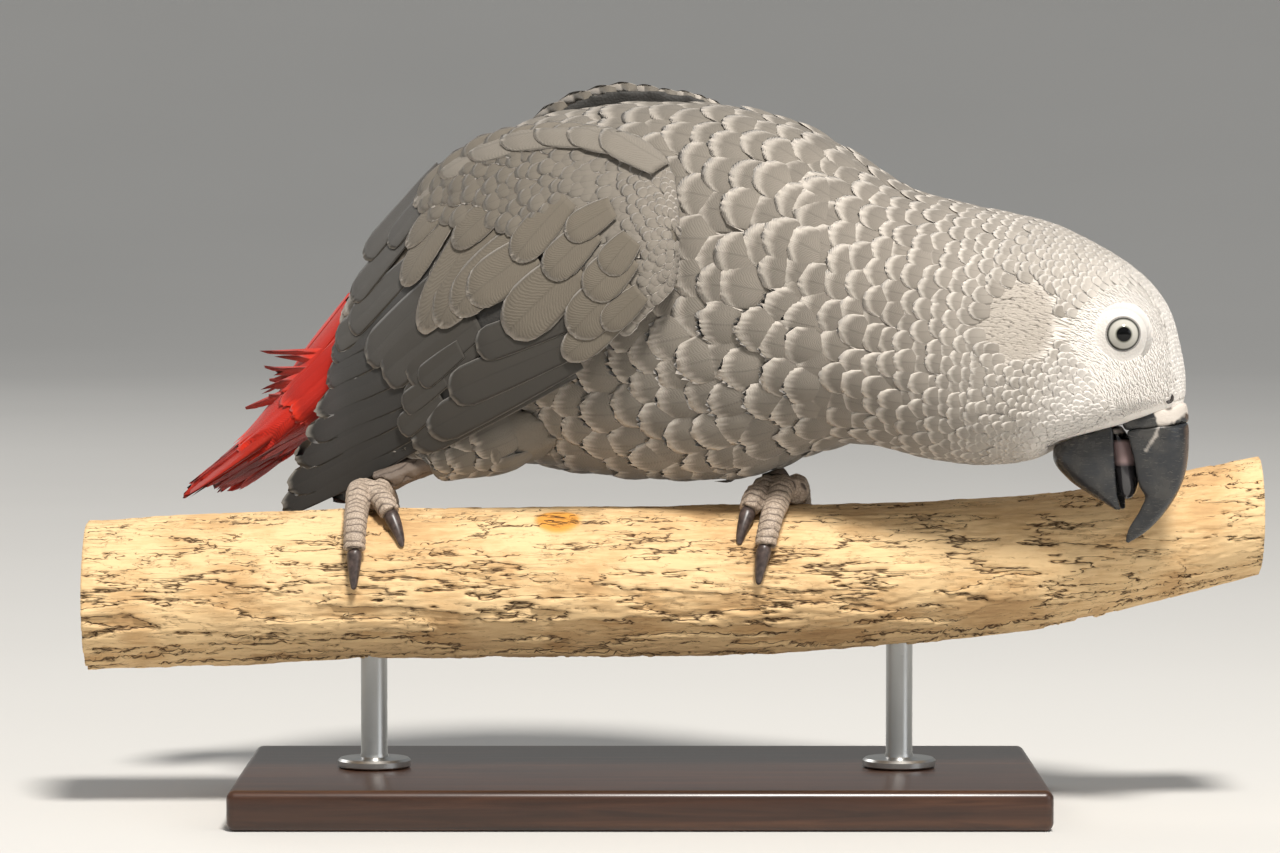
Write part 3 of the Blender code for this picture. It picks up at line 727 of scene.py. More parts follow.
def rows_on(surface, first, last, wide, long, seed, span, around):
    """Staggered rows of places on a surface, from first to last along t and over the span of v.

    wide(t) and long(t) are the spacings in metres across and between the rows, and around is how
    many samples measure a row.
    """
    rng = np.random.default_rng(seed)
    found = []
    t = first
    samples = np.linspace(*span, around)
    while t <= last:
        ring = surface(np.full(around, t), samples)
        length = np.concatenate([[0], np.cumsum(np.linalg.norm(np.diff(ring, axis=0), axis=1))])
        count = max(int(round(length[-1] / wide(t))), 3)
        offsets = (np.arange(count) + 0.25 + 0.5 * (len(found) % 2)) / count
        offsets = offsets + rng.uniform(-ROW_JITTER, ROW_JITTER, count) / count
        v = np.interp(np.clip(offsets, 0, 1) * length[-1], length, samples)
        speed = np.linalg.norm(surface(np.full(around, t + 0.01), samples) - ring, axis=1).max() / 0.01
        step = long(t) / speed
        found.append((t + rng.uniform(-ROW_JITTER, ROW_JITTER, count) * step, v))
        t += step
    return np.concatenate(found, axis=1)


# ---------------------------------------------------------------- sizes and colours

def paint(name, code, description):
    return bpy.props.FloatVectorProperty(name=name, description=description, subtype="COLOR", size=4,
                                         min=0.0, max=1.0, default=linear(code))


def number(name, value, description, **more):
    return bpy.props.FloatProperty(name=name, description=description, default=value, **more)


def metres(name, value, description):
    return number(name, value, description, min=0.0, unit="LENGTH", precision=5)


class ParrotCoat(bpy.types.PropertyGroup):
    wing: paint("Wing covert", "6b6357", "Middle of a wing covert")
    wing_rim: paint("Wing covert rim", "ada499", "Rim of a wing covert")
    back: paint("Back", "7e776d", "Middle of a back or breast feather")
    back_rim: paint("Back rim", "bab1a6", "Rim of a back or breast feather")
    neck: paint("Neck", "8d857b", "Middle of a neck feather")
    neck_rim: paint("Neck rim", "d6cdc2", "Rim of a neck feather")
    head: paint("Head", "b9b1a7", "Middle of a crown or cheek feather")
    head_rim: paint("Head rim", "e9e2d9", "Rim of a crown or cheek feather")
    face: paint("Bare face", "eee8e1", "Bare skin and its finest feathers")
    silk: paint("Ear silk", "b3aa9f", "Silky feathers over the ear")
    flight: paint("Flight feather", "33312e", "Vane of a primary or secondary")
    flight_edge: paint("Flight feather edge", "77726a", "Thin pale edge of a flight feather")
    red: paint("Tail red", "a5180b", "Vane of a tail feather")
    red_edge: paint("Tail red edge", "d42c13", "Loose barbs along a tail feather's edge")
    # Darkest red of the tail: painted shade, taken by the long tail feathers
    red_in_shade: paint("Tail tip", "4a140d", "Worn, darker end of a tail feather")
    voxel: metres("Skin detail", 0.0013, "Size of the cells that the skin is made smooth at")
    cover: number("Cover", 1.0, "Feather size over its usual size, at the same spacing", min=0.6, max=1.6,
                  subtype="FACTOR")
    seed: bpy.props.IntProperty(name="Seed", default=7, min=0, description="Start of the random draws")


class ParrotHead(bpy.types.PropertyGroup):
    iris: paint("Iris", "b9b6ad", "Straw-grey iris")
    iris_ring: paint("Iris ring", "4a4a44", "Dark ring round the iris")
    pupil: metres("Pupil radius", 0.0020, "Radius of the pupil")
    iris_radius: metres("Iris radius", 0.0043, "Radius of the iris inside its ring")
    lid: metres("Lid opening", 0.0047, "Radius of the opening between the lids")
    horn: paint("Bill horn", "27292c", "Horn of the bill")
    scuff: paint("Bill scuff", "938a7a", "Worn, powdery scratches on the horn")
    edge: paint("Bill edge", "6a5442", "Brown horn along the culmen and keel")
    cere: paint("Cere", "c6bdb3", "Bare skin round the nostrils")
    tongue: paint("Tongue", "a58c8a", "Middle of the tongue")


class ParrotPerch(bpy.types.PropertyGroup):
    plate: paint("Bark plate", "cba574", "Sunned top of a bark plate")
    pale: paint("Pale bark", "e3c291", "Palest bark plates")
    crack: paint("Crack", "4a2f18", "Bottom of a crack")
    heart: paint("Cut wood", "caa46e", "Sawn end of the branch")
    knot: paint("Knot", "d9963f", "Resinous wood of the knot")
    plate_long: metres("Crack length", 0.0200, "Usual length of a crack along the branch")
    plate_wide: metres("Crack spacing", 0.0026, "Usual spacing of cracks round the branch")
    relief: metres("Crack depth", 0.0013, "Depth of the cracks between plates")
    foot: paint("Foot skin", "b5a391", "Scales of the toes")
    # Also laid over the shanks as painted shade
    foot_line: paint("Foot lines", "43362e", "Skin between the scales")
    claw: paint("Claw", "332a27", "Horn of the claws")
    base: paint("Stand base", "3c2417", "Stained wood of the base")


class ParrotStage(bpy.types.PropertyGroup):
    floor: paint("Floor", "cfcdc9", "Pale studio floor")
    key: number("Key light", 105.0, "Power of the high key light", min=0.0, unit="POWER")
    fill: number("Fill light", 9.0, "Power of the fill light from the other side", min=0.0, unit="POWER")
    sky: number("Surround", 0.38, "Brightness of the pale surround", min=0.0, max=4.0, subtype="FACTOR")
    lens: number("Lens", 140.625, "Focal length on a 36 mm sensor", min=10.0, unit="CAMERA")
    distance: metres("Camera distance", 1.5, "From the camera to the point it looks at")
    elevation: number("Elevation", math.radians(3.0), "Camera's height over the horizon", subtype="ANGLE")
    aim: metres("Aim height", 0.11471, "Height of the point that the camera looks at")


def colour_of(settings, *names):
    return [tuple(getattr(settings, name)) for name in names]


# ---------------------------------------------------------------- feather and skin materials

def feather_material(name, base_stops, rim_stops, rim_from, barbs, lines, dark, gloss, slim=1.0):
    """Keratin vane, matte from its barbs: a pale rim, darker inside it, and fine slanted barbs.

    barbs is how many show along one feather, lines how strongly they tint it, and dark how deep the
    band inside the rim is. slim is the power that keeps the rim and the band close to a long
    feather's tip.
    """
    mat, tree = new_material(name)
    across = add(tree, "SeparateXYZ", add(tree, "UVMap", uv_map="vane"))
    up = across.node.outputs[1]
    side = add(tree, "Math ABSOLUTE", add(tree, "Math MULTIPLY_ADD", across, 2.0, -1.0))
    shade, tone = (add(tree, "Attribute", attribute_name=key, out="Fac") for key in ("shade", "tone"))
    # Clouds about 1 mm across break the rim and bend the barbs
    wander = add(tree, "TexNoise", add(tree, "TexCoord", out="Object"), 900.0, 2.0)
    edge = add(tree, "Math MAXIMUM", add(tree, "Math POWER", side, 3.0), add(tree, "Math POWER", up, slim))
    loose = add(tree, "Math MULTIPLY_ADD", wander, 0.3 * (1 - rim_from), edge)
    rim = add(tree, "MapRange", loose, rim_from, 1.02, interpolation_type="SMOOTHSTEP")
    band = add(tree, "MapRange", edge, 0.35, 0.85, 0.0, dark, interpolation_type="SMOOTHSTEP")
    base, pale = (add(tree, "ValToRGB", shade, stops=stops) for stops in (base_stops, rim_stops))
    slant = add(tree, "Math MULTIPLY_ADD", side, -0.35, up)
    phase = add(tree, "Math MULTIPLY", slant, barbs * TURN)
    wave = add(tree, "Math SINE", add(tree, "Math MULTIPLY_ADD", wander, 7.0, phase))
    shaft = add(tree, "MapRange", side, 0.015, 0.06, 1.0, 0.0)
    deep = add(tree, "Mix FLOAT", band, 1.0, 0.62)
    lit = add(tree, "Math ADD", add(tree, "Math MULTIPLY_ADD", wave, lines, deep), tone)
    quill = add(tree, "Math MULTIPLY_ADD", shaft, -0.12, lit)
    whole = add(tree, "VectorMath SCALE", base, quill)
    brim = add(tree, "VectorMath SCALE", pale, add(tree, "Math ADD", tone, 1.0))
    ridge = add(tree, "Math MULTIPLY_ADD", shaft, 1.5, wave)
    bump = add(tree, "Bump", {"Height": ridge, "Strength": 0.35, "Distance": 0.12 * MM})
    return finish(mat, Base_Color=add(tree, "Mix RGBA", rim, whole, brim), Normal=bump, Roughness=gloss,
                  Specular_IOR_Level=0.25, Sheen_Weight=0.12, Sheen_Roughness=0.5)


def grey_feather(settings, name, rim_from, dark, lines, slim=1.0):
    """Grey contour feather, after the powder down that dulls it: darkest on the wing."""
    base = zip(GREY_STEPS, colour_of(settings, "wing", "back", "neck", "head", "face"))
    rim = zip(GREY_STEPS, colour_of(settings, "wing_rim", "back_rim", "neck_rim", "head_rim", "face"))
    return feather_material(name, list(base), list(rim), rim_from, 24, lines, dark, 0.78, slim)


def flight_feather(settings):
    """Dark flight feather: stiff, closed vane with a thin pale edge and a slight gloss."""
    base, edge, wing_base, wing_rim = colour_of(settings, "flight", "flight_edge", "wing", "wing_rim")
    return feather_material("stiff_flight_feather", [(0.0, base), (1.0, wing_base)],
                            [(0.0, edge), (1.0, wing_rim)], 0.84, 70, 0.05, 0.35, 0.6, 5.0)


def red_feather(settings):
    """Scarlet tail feather, whose barbs come apart towards its darker end. Its darkest red is painted shade,
    which the long feathers take.
    """
    # The darkest red, called tip here, is painted shade
    red, edge, tip = colour_of(settings, "red", "red_edge", "red_in_shade")
    return feather_material("scarlet_tail_feather", [(0.0, tip), (0.5, red), (1.0, edge)],
                            [(0.0, tip), (0.5, edge), (1.0, edge)], 0.7, 60, 0.16, 0.5, 0.6, 3.0)


def bare_skin(settings):
    """Skin: white and finely grained on the face, dull grey where feathers hide it, darkened by painted
    shade in the eye sockets and by the lids' own dark rim.
    """
    mat, tree = new_material("powdered_skin")
    shade, dim = (add(tree, "Attribute", attribute_name=key, out="Fac") for key in ("shade", "dim"))
    stops = zip(GREY_STEPS, colour_of(settings, "flight", "wing", "back", "head", "face"))
    base = add(tree, "ValToRGB", shade, stops=list(stops))
    place = add(tree, "TexCoord", out="Object")
    # Follicles stand about 0.7 mm apart, and the mottling is about 4 mm across
    grain = add(tree, "TexVoronoi", place, 1 / (0.7 * MM))
    mottle = add(tree, "Math MULTIPLY_ADD", add(tree, "TexNoise", place, 260.0, 4.0), 0.22, 0.89)
    # Painted shade in the eye sockets and the lids' dark rim darken the skin here
    whole = add(tree, "VectorMath SCALE", base, add(tree, "Math MULTIPLY", mottle, dim))
    bump = add(tree, "Bump", {"Height": grain, "Strength": 0.5, "Distance": 0.25 * MM})
    return finish(mat, Base_Color=whole, Normal=bump, Roughness=0.7, Subsurface_Weight=0.05,
                  Subsurface_Radius=(0.002, 0.001, 0.0006))


def fine_hair(settings):
    """Hair-like feathers of the face and ears, pale all along."""
    mat, tree = new_material("silky_face_feather")
    shade, tone = (add(tree, "Attribute", attribute_name=key, out="Fac") for key in ("shade", "tone"))
    stops = zip((0.6, 0.86, 1.0), colour_of(settings, "silk", "head_rim", "face"))
    base = add(tree, "ValToRGB", shade, stops=list(stops))
    whole = add(tree, "VectorMath SCALE", base, add(tree, "Math ADD", tone, 1.0))
    return finish(mat, Base_Color=whole, Roughness=0.75)


# ---------------------------------------------------------------- skin

def wing_slab(name, sign, lift):
    """The fleshy part of a folded wing, from the wrist to where only quills go on."""
    across = 22
    v = np.concatenate([np.linspace(0.05, 0.95, across), np.linspace(0.95, 0.05, across)])
    t, v = grid_of(np.linspace(0.15, 7.1, 64), v)
    outer = np.arange(len(t)) % (2 * across) < across
    near = wing_inset(t)
    far = np.maximum(wing_wall(t, v) - 0.4 * MM, near + 1.1 * MM)
    return closed_tube(name, wing(t, v, sign, lift, np.where(outer, near, far)), 2 * across)


def eye_of(side):
    """An eye's middle and radius, from its solid, and its ways: out, ahead and over.

    The ball stands a little out of the solid, and looks sideways and a little ahead.
    """
    low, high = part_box("eye_" + side)
    sign = WING_SIDES[side][0]
    lateral, out = directions((0.0, sign, 0.0), (math.sin(GAZE), sign * math.cos(GAZE), 0.0))
    ahead = unit(np.cross(out, (0.0, 0.0, 1.0)))
    middle = np.array((low + high) / 2) + lateral * EYE_OUT
    return middle, (high.z - low.z) / 2, (out, ahead, np.cross(ahead, out))


def nostril_of(side):
    """A nostril's middle on the skin, and its ways: out, ahead and over."""
    forward, up, lateral = NOSTRIL
    sign = WING_SIDES[side][0]
    out, over = directions((0.35, sign * 0.93, 0.1), (0.45, 0.0, 1.0))
    over = unit(over - out * (over @ out))
    return to_world([(forward, sign * lateral, up)])[0], (out, np.cross(over, out), over)


def rim_piece(name, centre, ways, opening, profile, guide):
    """Thin skin round an opening: rings from the guide's surface over a rim and down inside it.

    opening is the rim's two radii, and profile its rings: how far out of the rim, how high over the
    centre, how tall its warts, and how much of the ring lies on the guide's surface instead.
    """
    out, ahead, over = ways
    turns = 132
    tree = surface_tree(guide.data)
    points = []
    for far, high, warts, lying in profile:
        for a in ring_of(turns):
            ragged = warts * max(math.cos(a * 33), 0) ** 2 * (0.5 + 0.5 * math.sin(5.3 * a + 1))
            way = ahead * math.cos(a) * (opening[0] + far) + over * math.sin(a) * (opening[1] + far)
            base, normal, _, _ = tree.ray_cast(centre + way + out * 12 * MM, -out)
            flush = np.array(base) + np.array(normal) * (0.12 if lying < 1 else -0.30) * MM
            points.append(flush * lying + (centre + way + out * (high + ragged)) * (1 - lying))
    return closed_tube(name, points, turns, True)


def lids(side, opening, guide):
    """Thin lids from the face up to the eye's opening, with fine warts along their rim."""
    centre, radius, ways = eye_of(side)
    lip = math.sqrt(radius**2 - opening**2)
    profile = []
    for share in np.arange(16) / 15:
        fold = 0.10 * math.sin(share * 2.5 * math.pi) * (1 - share)
        profile.append((4.2 * MM * (1 - share) ** 1.5, lip + (0.08 + fold) * MM,
                        0.09 * MM * smooth(0.6, 0.9, share), 1 - smooth(0.05, 0.88, share)))
    profile += [(-0.14 * MM, lip, 0, 0), (-0.05 * MM, lip - 0.35 * MM, 0, 0),
                (0.3 * MM, lip - 1.3 * MM, 0, 0), (4.2 * MM, lip - 2.0 * MM, 0, 0.7)]
    return rim_piece("lids_" + side, centre, ways, (opening, opening), profile, guide)


def round_eye(points, side):
    """How far each place lies across an eye's gaze, whether it lies before it, and how far off it is."""
    centre, _, (out, ahead, over) = eye_of(side)
    away = points - centre
    return np.hypot(away @ ahead, away @ over), away @ out > 0, np.linalg.norm(away, axis=1)


def paleness(t, bird):
    """How pale the coat is: by rib, then the bare face and the silkier, greyer ear patch."""
    belly = smooth(0.060, 0.035, bird[:, 2]) * smooth(0.075, 0.050, bird[:, 0])
    pale = np.maximum(coat_at(t)[2] + BELLY_PALER * belly, patch(bird, FACE))
    return pale - EAR_DARKER * patch(bird, (EAR,))


def as_guide(obj, outward=None):
    """Hides a surface that vanes are bent over, and keeps the way out of it at each point."""
    store(obj.data, "outward", shape_of(obj.data)[1] if outward is None else outward, "FLOAT_VECTOR")
    obj.hide_render = True
    return obj


class PARROT_OT_skin(bpy.types.Operator):
    """One skin for the head, neck, trunk, wings and thighs, with lids"""
    bl_idname = "parrot.skin"
    bl_label = "Skin"

    def execute(self, context):
        settings, opening = context.scene.parrot_coat, context.scene.parrot_head.lid
        t, angle = grid_of(np.linspace(0.1, LAST_RIB + 0.3, 170), ring_of(96))
        parts = [closed_tube("skin_body", under_coat(t, angle), 96)]
        for side, (sign, lift) in WING_SIDES.items():
            parts.append(wing_slab("skin_wing_" + side, sign, 1.10 * lift))
            parts.append(node_copy("skin_thigh_" + side, "thigh_" + side))
        as_guide(add_object("guide_trunk", parts[0].data.copy()))
        guide = join_objects("guide_body", parts)
        melt(guide, settings.voxel, 8)
        as_guide(guide)
        shell = add_object("skin_shell", guide.data.copy())
        pieces = [shell] + [lids(side, opening, guide) for side in WING_SIDES]
        # The shell sinks under the lids, so that only their rims ring the eyes
        points, _ = shape_of(shell.data)
        for side in WING_SIDES:
            across, _, off = round_eye(points, side)
            sunk = (1 - smooth(*SUNK, across)) * (off < SOCKET)
            points = points - sunk[:, None] * eye_of(side)[2][0] * SUNK_DEPTH
        move_points(shell.data, points)
        skin = join_objects("skin", pieces)
        points, _ = shape_of(skin.data)
        t, angle = grid_of(np.linspace(0, LAST_RIB, 240), ring_of(90))
        tree = place_tree(body(t, angle))
        nearest = [tree.find(p) for p in points]
        shade = paleness(t[[found[1] for found in nearest]], to_bird(points))
        # Skin more than 7 mm off the body, on the wings, takes the darkest grey. Along the far wing's raised
        # edge it shows as painted shade of the wing's underside
        shade[np.array([found[2] for found in nearest]) > 7 * MM] = GREY_STEPS[0]
        # Painted shade darkens the skin in front of each eye towards its socket. The lids' dark rim is their
        # own colour, and the skin round the eye is white
        dim = np.ones(len(points))
        for side in WING_SIDES:
            across, before, _ = round_eye(points, side)
            dim = np.minimum(dim, 1 - 0.22 * (1 - smooth(6 * MM, SOCKET, across)) * before)
            dim = np.where((across < opening + DARK_RIM) & before, 0.30, dim)
            shade = np.where((across < WHITE_REACH) & before, 1.0, shade)
        store(skin.data, "shade", shade + EAR_SKIN_PALER * patch(to_bird(points), (EAR,)))
        store(skin.data, "dim", dim)
        dress(skin, bare_skin(settings), "pale_feathers", "trunk", "neck", "head", "thigh_left",
              "thigh_right", "wing_left", "wing_right")
        return {"FINISHED"}


# ---------------------------------------------------------------- coat

def guide_sheet(name, surface, rows, columns, flip):
    """A hidden open sheet that vanes are bent over."""
    place, _, _, out = ways_over(surface, *grid_of(rows, columns), flip)
    faces = grid_faces(len(rows), len(columns), False)
    return as_guide(add_object(name, new_mesh(name, place, faces)), out)


def body_roots(first, last, seed):
    """Rows over the body between two ribs, thinned where ribs crowd, with their looks."""
    wide, long = 0.86, 0.62
    t, angle = rows_on(under_coat, first, last, lambda t: float(coat_at(t)[1]) * wide,
                       lambda t: float(coat_at(t)[1]) * long, seed, (0.0, TURN), 260)
    place, by_t, _, out = ways_over(under_coat, t, angle, True)
    depth, width, _ = coat_at(t)
    kept = thinned(place, -by_t, out, width * wide, width * long)
    return keep(kept, t, angle, place, -by_t, out, depth, width, spot_of(angle / TURN, t / LAST_RIB))


def under_wing(place, out):
    """Which places lie below a folded wing, reached along out."""
    hidden = np.zeros(len(place), bool)
    t, v = grid_of(np.linspace(0.1, 8.0, 40), np.linspace(0.02, 0.98, 14))
    for sign, lift in WING_SIDES.values():
        tree = BVHTree.FromPolygons(wing(t, v, sign, lift).tolist(), grid_faces(40, 14, False))
        hidden |= [tree.ray_cast(p - 3 * MM * n, n, 25 * MM)[0] is not None for p, n in zip(place, out)]
    return hidden


class PARROT_OT_coat(bpy.types.Operator):
    """Contour feathers in rows over the head, neck, trunk and thighs"""
    bl_idname = "parrot.coat"
    bl_label = "Body feathers"

    def execute(self, context):
        settings = context.scene.parrot_coat
        rng = np.random.default_rng(settings.seed)
        trunk, guide = bpy.data.objects["guide_trunk"], bpy.data.objects["guide_body"]
        coat_tree()
        mat = grey_feather(settings, "powdered_grey_feather", 0.78, 0.5, 0.035)
        silk = fine_hair(settings)
        scales = vane_kind("scale", 3, columns=8, rows=5, blunt=0.55, fray=0.03, cup=0.14, droop=0.05)
        contours = vane_kind("contour", 5, columns=14, rows=7, blunt=0.56, fray=0.035, cup=0.18, droop=0.08)
        softs = vane_kind("soft", 6, columns=22, rows=7, blunt=0.58, fray=0.075, cup=0.28, droop=0.12)
        hairs = vane_kind("hair", 3, columns=2, rows=5, blunt=0.8, waist=0.5, cup=0.2, sweep=0.35)

        for label, first, last, kind in (("neck", 9.4, 12.9, contours), ("head", 12.9, 18.95, scales)):
            t, _, place, lie, out, depth, width, root = body_roots(first, last, settings.seed + int(first))
            bird = to_bird(place)
            # They thin out over the bare face and the ears
            bare, ear = patch(bird, FACE), patch(bird, (EAR,))
            kept = (rng.random(len(t)) > 1.6 * bare - 0.2) & (rng.random(len(t)) > 1.5 * ear - 0.1)
            size = width * (1 - 0.35 * bare) * settings.cover
            tall = 0.8 * depth * rng.uniform(0.85, 1.15, len(t)) * (1 - 0.6 * bare)
            grown = grow(rng, *keep(kept, place, lie, out, root, paleness(t, bird), size * 1.20, size * 1.80,
                                    tall), sway=0.14)
            lay("coat_" + label, [grown], kind, trunk, mat, "pale_feathers")

        # Silky ear coverts, and the finest feathers of all on the bare face, clear of the lids and
        # the nostrils. Sizes are width, length and height in millimetres
        for label, first, last, wide, long, spots, size in (
                ("ear", 11.8, 15.2, 0.75, 0.9, (EAR,), (0.95, 6.6, 0.32)),
                ("face", 13.4, 18.9, 0.62, 0.85, FACE, (0.45, 2.1, 0.18))):
            t, angle = rows_on(under_coat, first, last, lambda t: wide * MM, lambda t: long * MM, 5,
                               (0.0, TURN), 300)
            place, by_t, by_a, out = ways_over(under_coat, t, angle, True)
            from_eye, from_nose = (
                np.min([np.linalg.norm(place - middle(side)[0], axis=1) for side in WING_SIDES], axis=0)
                for middle in (eye_of, nostril_of))
            kept = patch(to_bird(place), spots) > rng.uniform(0.02, 0.5, len(t))
            kept &= (from_eye > 7.5 * MM) & (from_nose > 4.0 * MM)
            t, angle, place, by_t, by_a, out = keep(kept, t, angle, place, by_t, by_a, out)
            grown = grow(rng, place, -by_t - 0.25 * by_a * np.sign(np.cos(angle))[:, None], out,
                         spot_of(angle / TURN, t / LAST_RIB), paleness(t, to_bird(place)),
                         *np.array(size) * MM, sway=0.22, tone=0.05)
            lay("coat_" + label, [grown], hairs, trunk, silk, "pale_feathers")

        t, angle, place, lie, out, depth, width, root = body_roots(1.0, 9.6, settings.seed + 3)
        shade = paleness(t, to_bird(place))
        seen = ~(under_wing(place, out) & under_wing(place + lie * 1.5 * width[:, None], out))
        under = smooth(0.10, -0.35, np.sin(angle)) > rng.random(len(t))
        for label, chosen, kind, slack, sway in (("back", ~under, contours, 0.9, 0.10),
                                                 ("breast", under, softs, 1.15, 0.16)):
            kept = chosen & seen
            size = width[kept] * settings.cover
            tall = depth[kept] * rng.uniform(0.8, 1.1, kept.sum()) * slack
            grown = grow(rng, *keep(kept, place, lie, out, root, shade), size * 1.2, size * 1.75, tall,
                         sway=sway)
            lay("coat_" + label, [grown], kind, trunk, mat, "grey_feathers")

        # Loose feathers down the thighs, over the whole of their solids
        grown = []
        places, normals = shape_of(guide.data)
        for side in WING_SIDES:
            low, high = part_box("thigh_" + side)
            near = np.all((places > np.array(low) - 2 * MM) & (places < np.array(high) + 1 * MM), axis=1)
            thigh = surface_tree(frame["nodes"]["thigh_" + side].data)
            found = [k for k in np.flatnonzero(near) if thigh.find_nearest(places[k])[3] < 1.3 * MM]
            found = rng.permutation(found)
            shank_low, shank_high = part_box("shank_" + side)
            down = unit(np.array((shank_low + shank_high) / 2 - (low + high) / 2))
            place, out, lie = places[found], normals[found], np.tile(down, (len(found), 1))
            kept = thinned(place, lie, out, np.full(len(found), 7 * MM), np.full(len(found), 6 * MM))
            place, out, lie = keep(kept, place, out, lie)
            away = place - place.mean(axis=0)
            across = unit(np.cross(down, (1.0, 0.0, 0.0)))
            turn = np.arctan2(away @ np.cross(down, across), away @ across) / TURN
            root = spot_of(0.5 * turn + (0.25 if side == "left" else 0.75), 0.5 + away @ down / 0.08)
            grown.append(grow(rng, place, lie, out, root, 0.30, 9.5 * MM, 15 * MM, 2.2 * MM, sway=0.2))
        lay("coat_thighs", grown, softs, guide, mat, "grey_feathers")
        return {"FINISHED"}


# ---------------------------------------------------------------- wings

# Wing coverts by rib: width of a feather and how tall its tip stands, in millimetres
COVERTS_BY_RIB = ((-0.2, 1.9, 0.40), (1.0, 2.8, 0.55), (2.0, 4.1, 0.75), (3.0, 5.6, 0.95), (4.2, 7.0, 1.15),
                  (5.2, 7.8, 1.2))
# Where the rows of coverts end, from the wing's upper edge to its lower
COVERTS_END = ((0.0, 5.1), (0.15, 4.9), (0.3, 4.1), (0.42, 3.5), (0.55, 2.9), (0.7, 2.5), (0.9, 2.3),
               (1.0, 2.2))
# Scapulars, which lie back from the shoulder over the wing's upper edge, as the large feathers below
SCAPULARS = (
    (4.25, 0.055, 5.6, 0.085, 11.0, 1.3), (3.75, 0.05, 5.1, 0.075, 12.0, 1.5),
    (3.2, 0.05, 4.6, 0.065, 13.0, 1.7), (2.7, 0.045, 4.1, 0.06, 13.5, 1.9),
    (2.2, 0.045, 3.6, 0.055, 14.0, 2.1), (1.7, 0.05, 3.1, 0.05, 14.0, 2.3),
    (1.2, 0.06, 2.6, 0.05, 14.0, 2.5),
)
# The large feathers of a folded wing, lowest first: root and tip (ribs from the wrist and share
# from the upper edge), width and height over the skin in millimetres
PRIMARIES = (
    (6.0, 0.93, 10.82, 0.68, 9.0, 0.0), (5.9, 0.88, 10.58, 0.40, 9.5, 0.1),
    (5.7, 0.81, 10.25, 0.17, 9.5, 0.2), (5.4, 0.77, 9.75, 0.10, 9.5, 0.3),
    (5.2, 0.69, 9.35, 0.05, 9.5, 0.4), (5.0, 0.60, 8.95, 0.04, 9.5, 0.5),
    (4.9, 0.50, 8.45, 0.10, 9.5, 0.6), (4.9, 0.40, 8.1, 0.16, 9.5, 0.7),
)
SECONDARIES = (
    (6.24, 0.36, 7.95, 0.20, 8.5, 0.75), (4.70, 0.72, 6.35, 0.79, 8.0, 0.70),
    (4.65, 0.66, 6.12, 0.70, 10.0, 0.80), (4.74, 0.60, 6.73, 0.60, 13.0, 0.85),
    (5.00, 0.46, 7.08, 0.48, 11.0, 0.90), (5.72, 0.30, 7.40, 0.26, 9.5, 0.95),
    (5.30, 0.15, 7.25, 0.14, 9.0, 1.05), (5.10, 0.04, 6.80, 0.05, 9.0, 1.15),
    (4.90, 0.09, 6.15, 0.13, 8.5, 1.25), (3.50, 0.96, 6.58, 0.955, 9.6, 0.55),
    (3.38, 0.94, 6.11, 0.93, 10.0, 0.75), (3.37, 0.89, 5.44, 0.84, 10.0, 0.95),
    (3.27, 0.80, 4.76, 0.75, 8.5, 1.15), (5.55, 0.84, 6.62, 0.88, 6.0, 1.00),
    (5.40, 0.78, 6.36, 0.80, 6.0, 1.05), (5.00, 0.72, 5.86, 0.74, 6.0, 1.10),
)
GREATER_COVERTS = (
    (4.16, 0.28, 5.70, 0.60, 12.7, 1.10), (4.07, 0.38, 5.31, 0.62, 12.7, 1.22),
    (3.79, 0.44, 5.00, 0.60, 12.7, 1.34), (3.65, 0.50, 4.72, 0.57, 12.1, 1.46),
    (4.80, 0.22, 5.85, 0.36, 11.0, 1.40), (4.40, 0.15, 5.75, 0.22, 8.5, 1.50),
    (3.87, 0.27, 4.85, 0.37, 10.0, 1.60), (3.10, 0.34, 3.95, 0.52, 10.5, 1.66),
    (3.05, 0.62, 4.25, 0.75, 13.8, 1.55), (2.45, 0.91, 3.55, 0.93, 8.3, 1.35),
    (2.30, 0.78, 3.35, 0.87, 11.0, 1.65), (2.00, 0.90, 2.85, 0.92, 6.5, 1.70),
    (2.70, 0.50, 3.52, 0.62, 9.9, 1.80), (2.10, 0.68, 2.98, 0.76, 10.0, 1.85),
    (2.00, 0.60, 2.62, 0.71, 8.0, 1.95), (2.35, 0.42, 3.15, 0.50, 8.5, 1.95),
)


def covert_at(t):
    """The width of a wing covert and how tall its tip stands, in metres, t ribs from the wrist."""
    return [size * MM for size in read_off(COVERTS_BY_RIB, t)]


def spans(surface, flip, table, tall, shade, rng, wide=1.0):
    """Long feathers, each from its own root on the surface to its own tip, wide times as wide."""
    from_t, from_v, to_t, to_v, width, lift = np.array(table).T
    start, _, _, out = ways_over(surface, from_t, from_v, flip)
    way = surface(to_t, to_v) - start
    return grow(rng, start, way, out, spot_of(from_v, from_t / WING_RIBS), shade, wide * width * MM,
                np.linalg.norm(way, axis=1), tall, lift * MM, sway=0.02, tone=0.035)


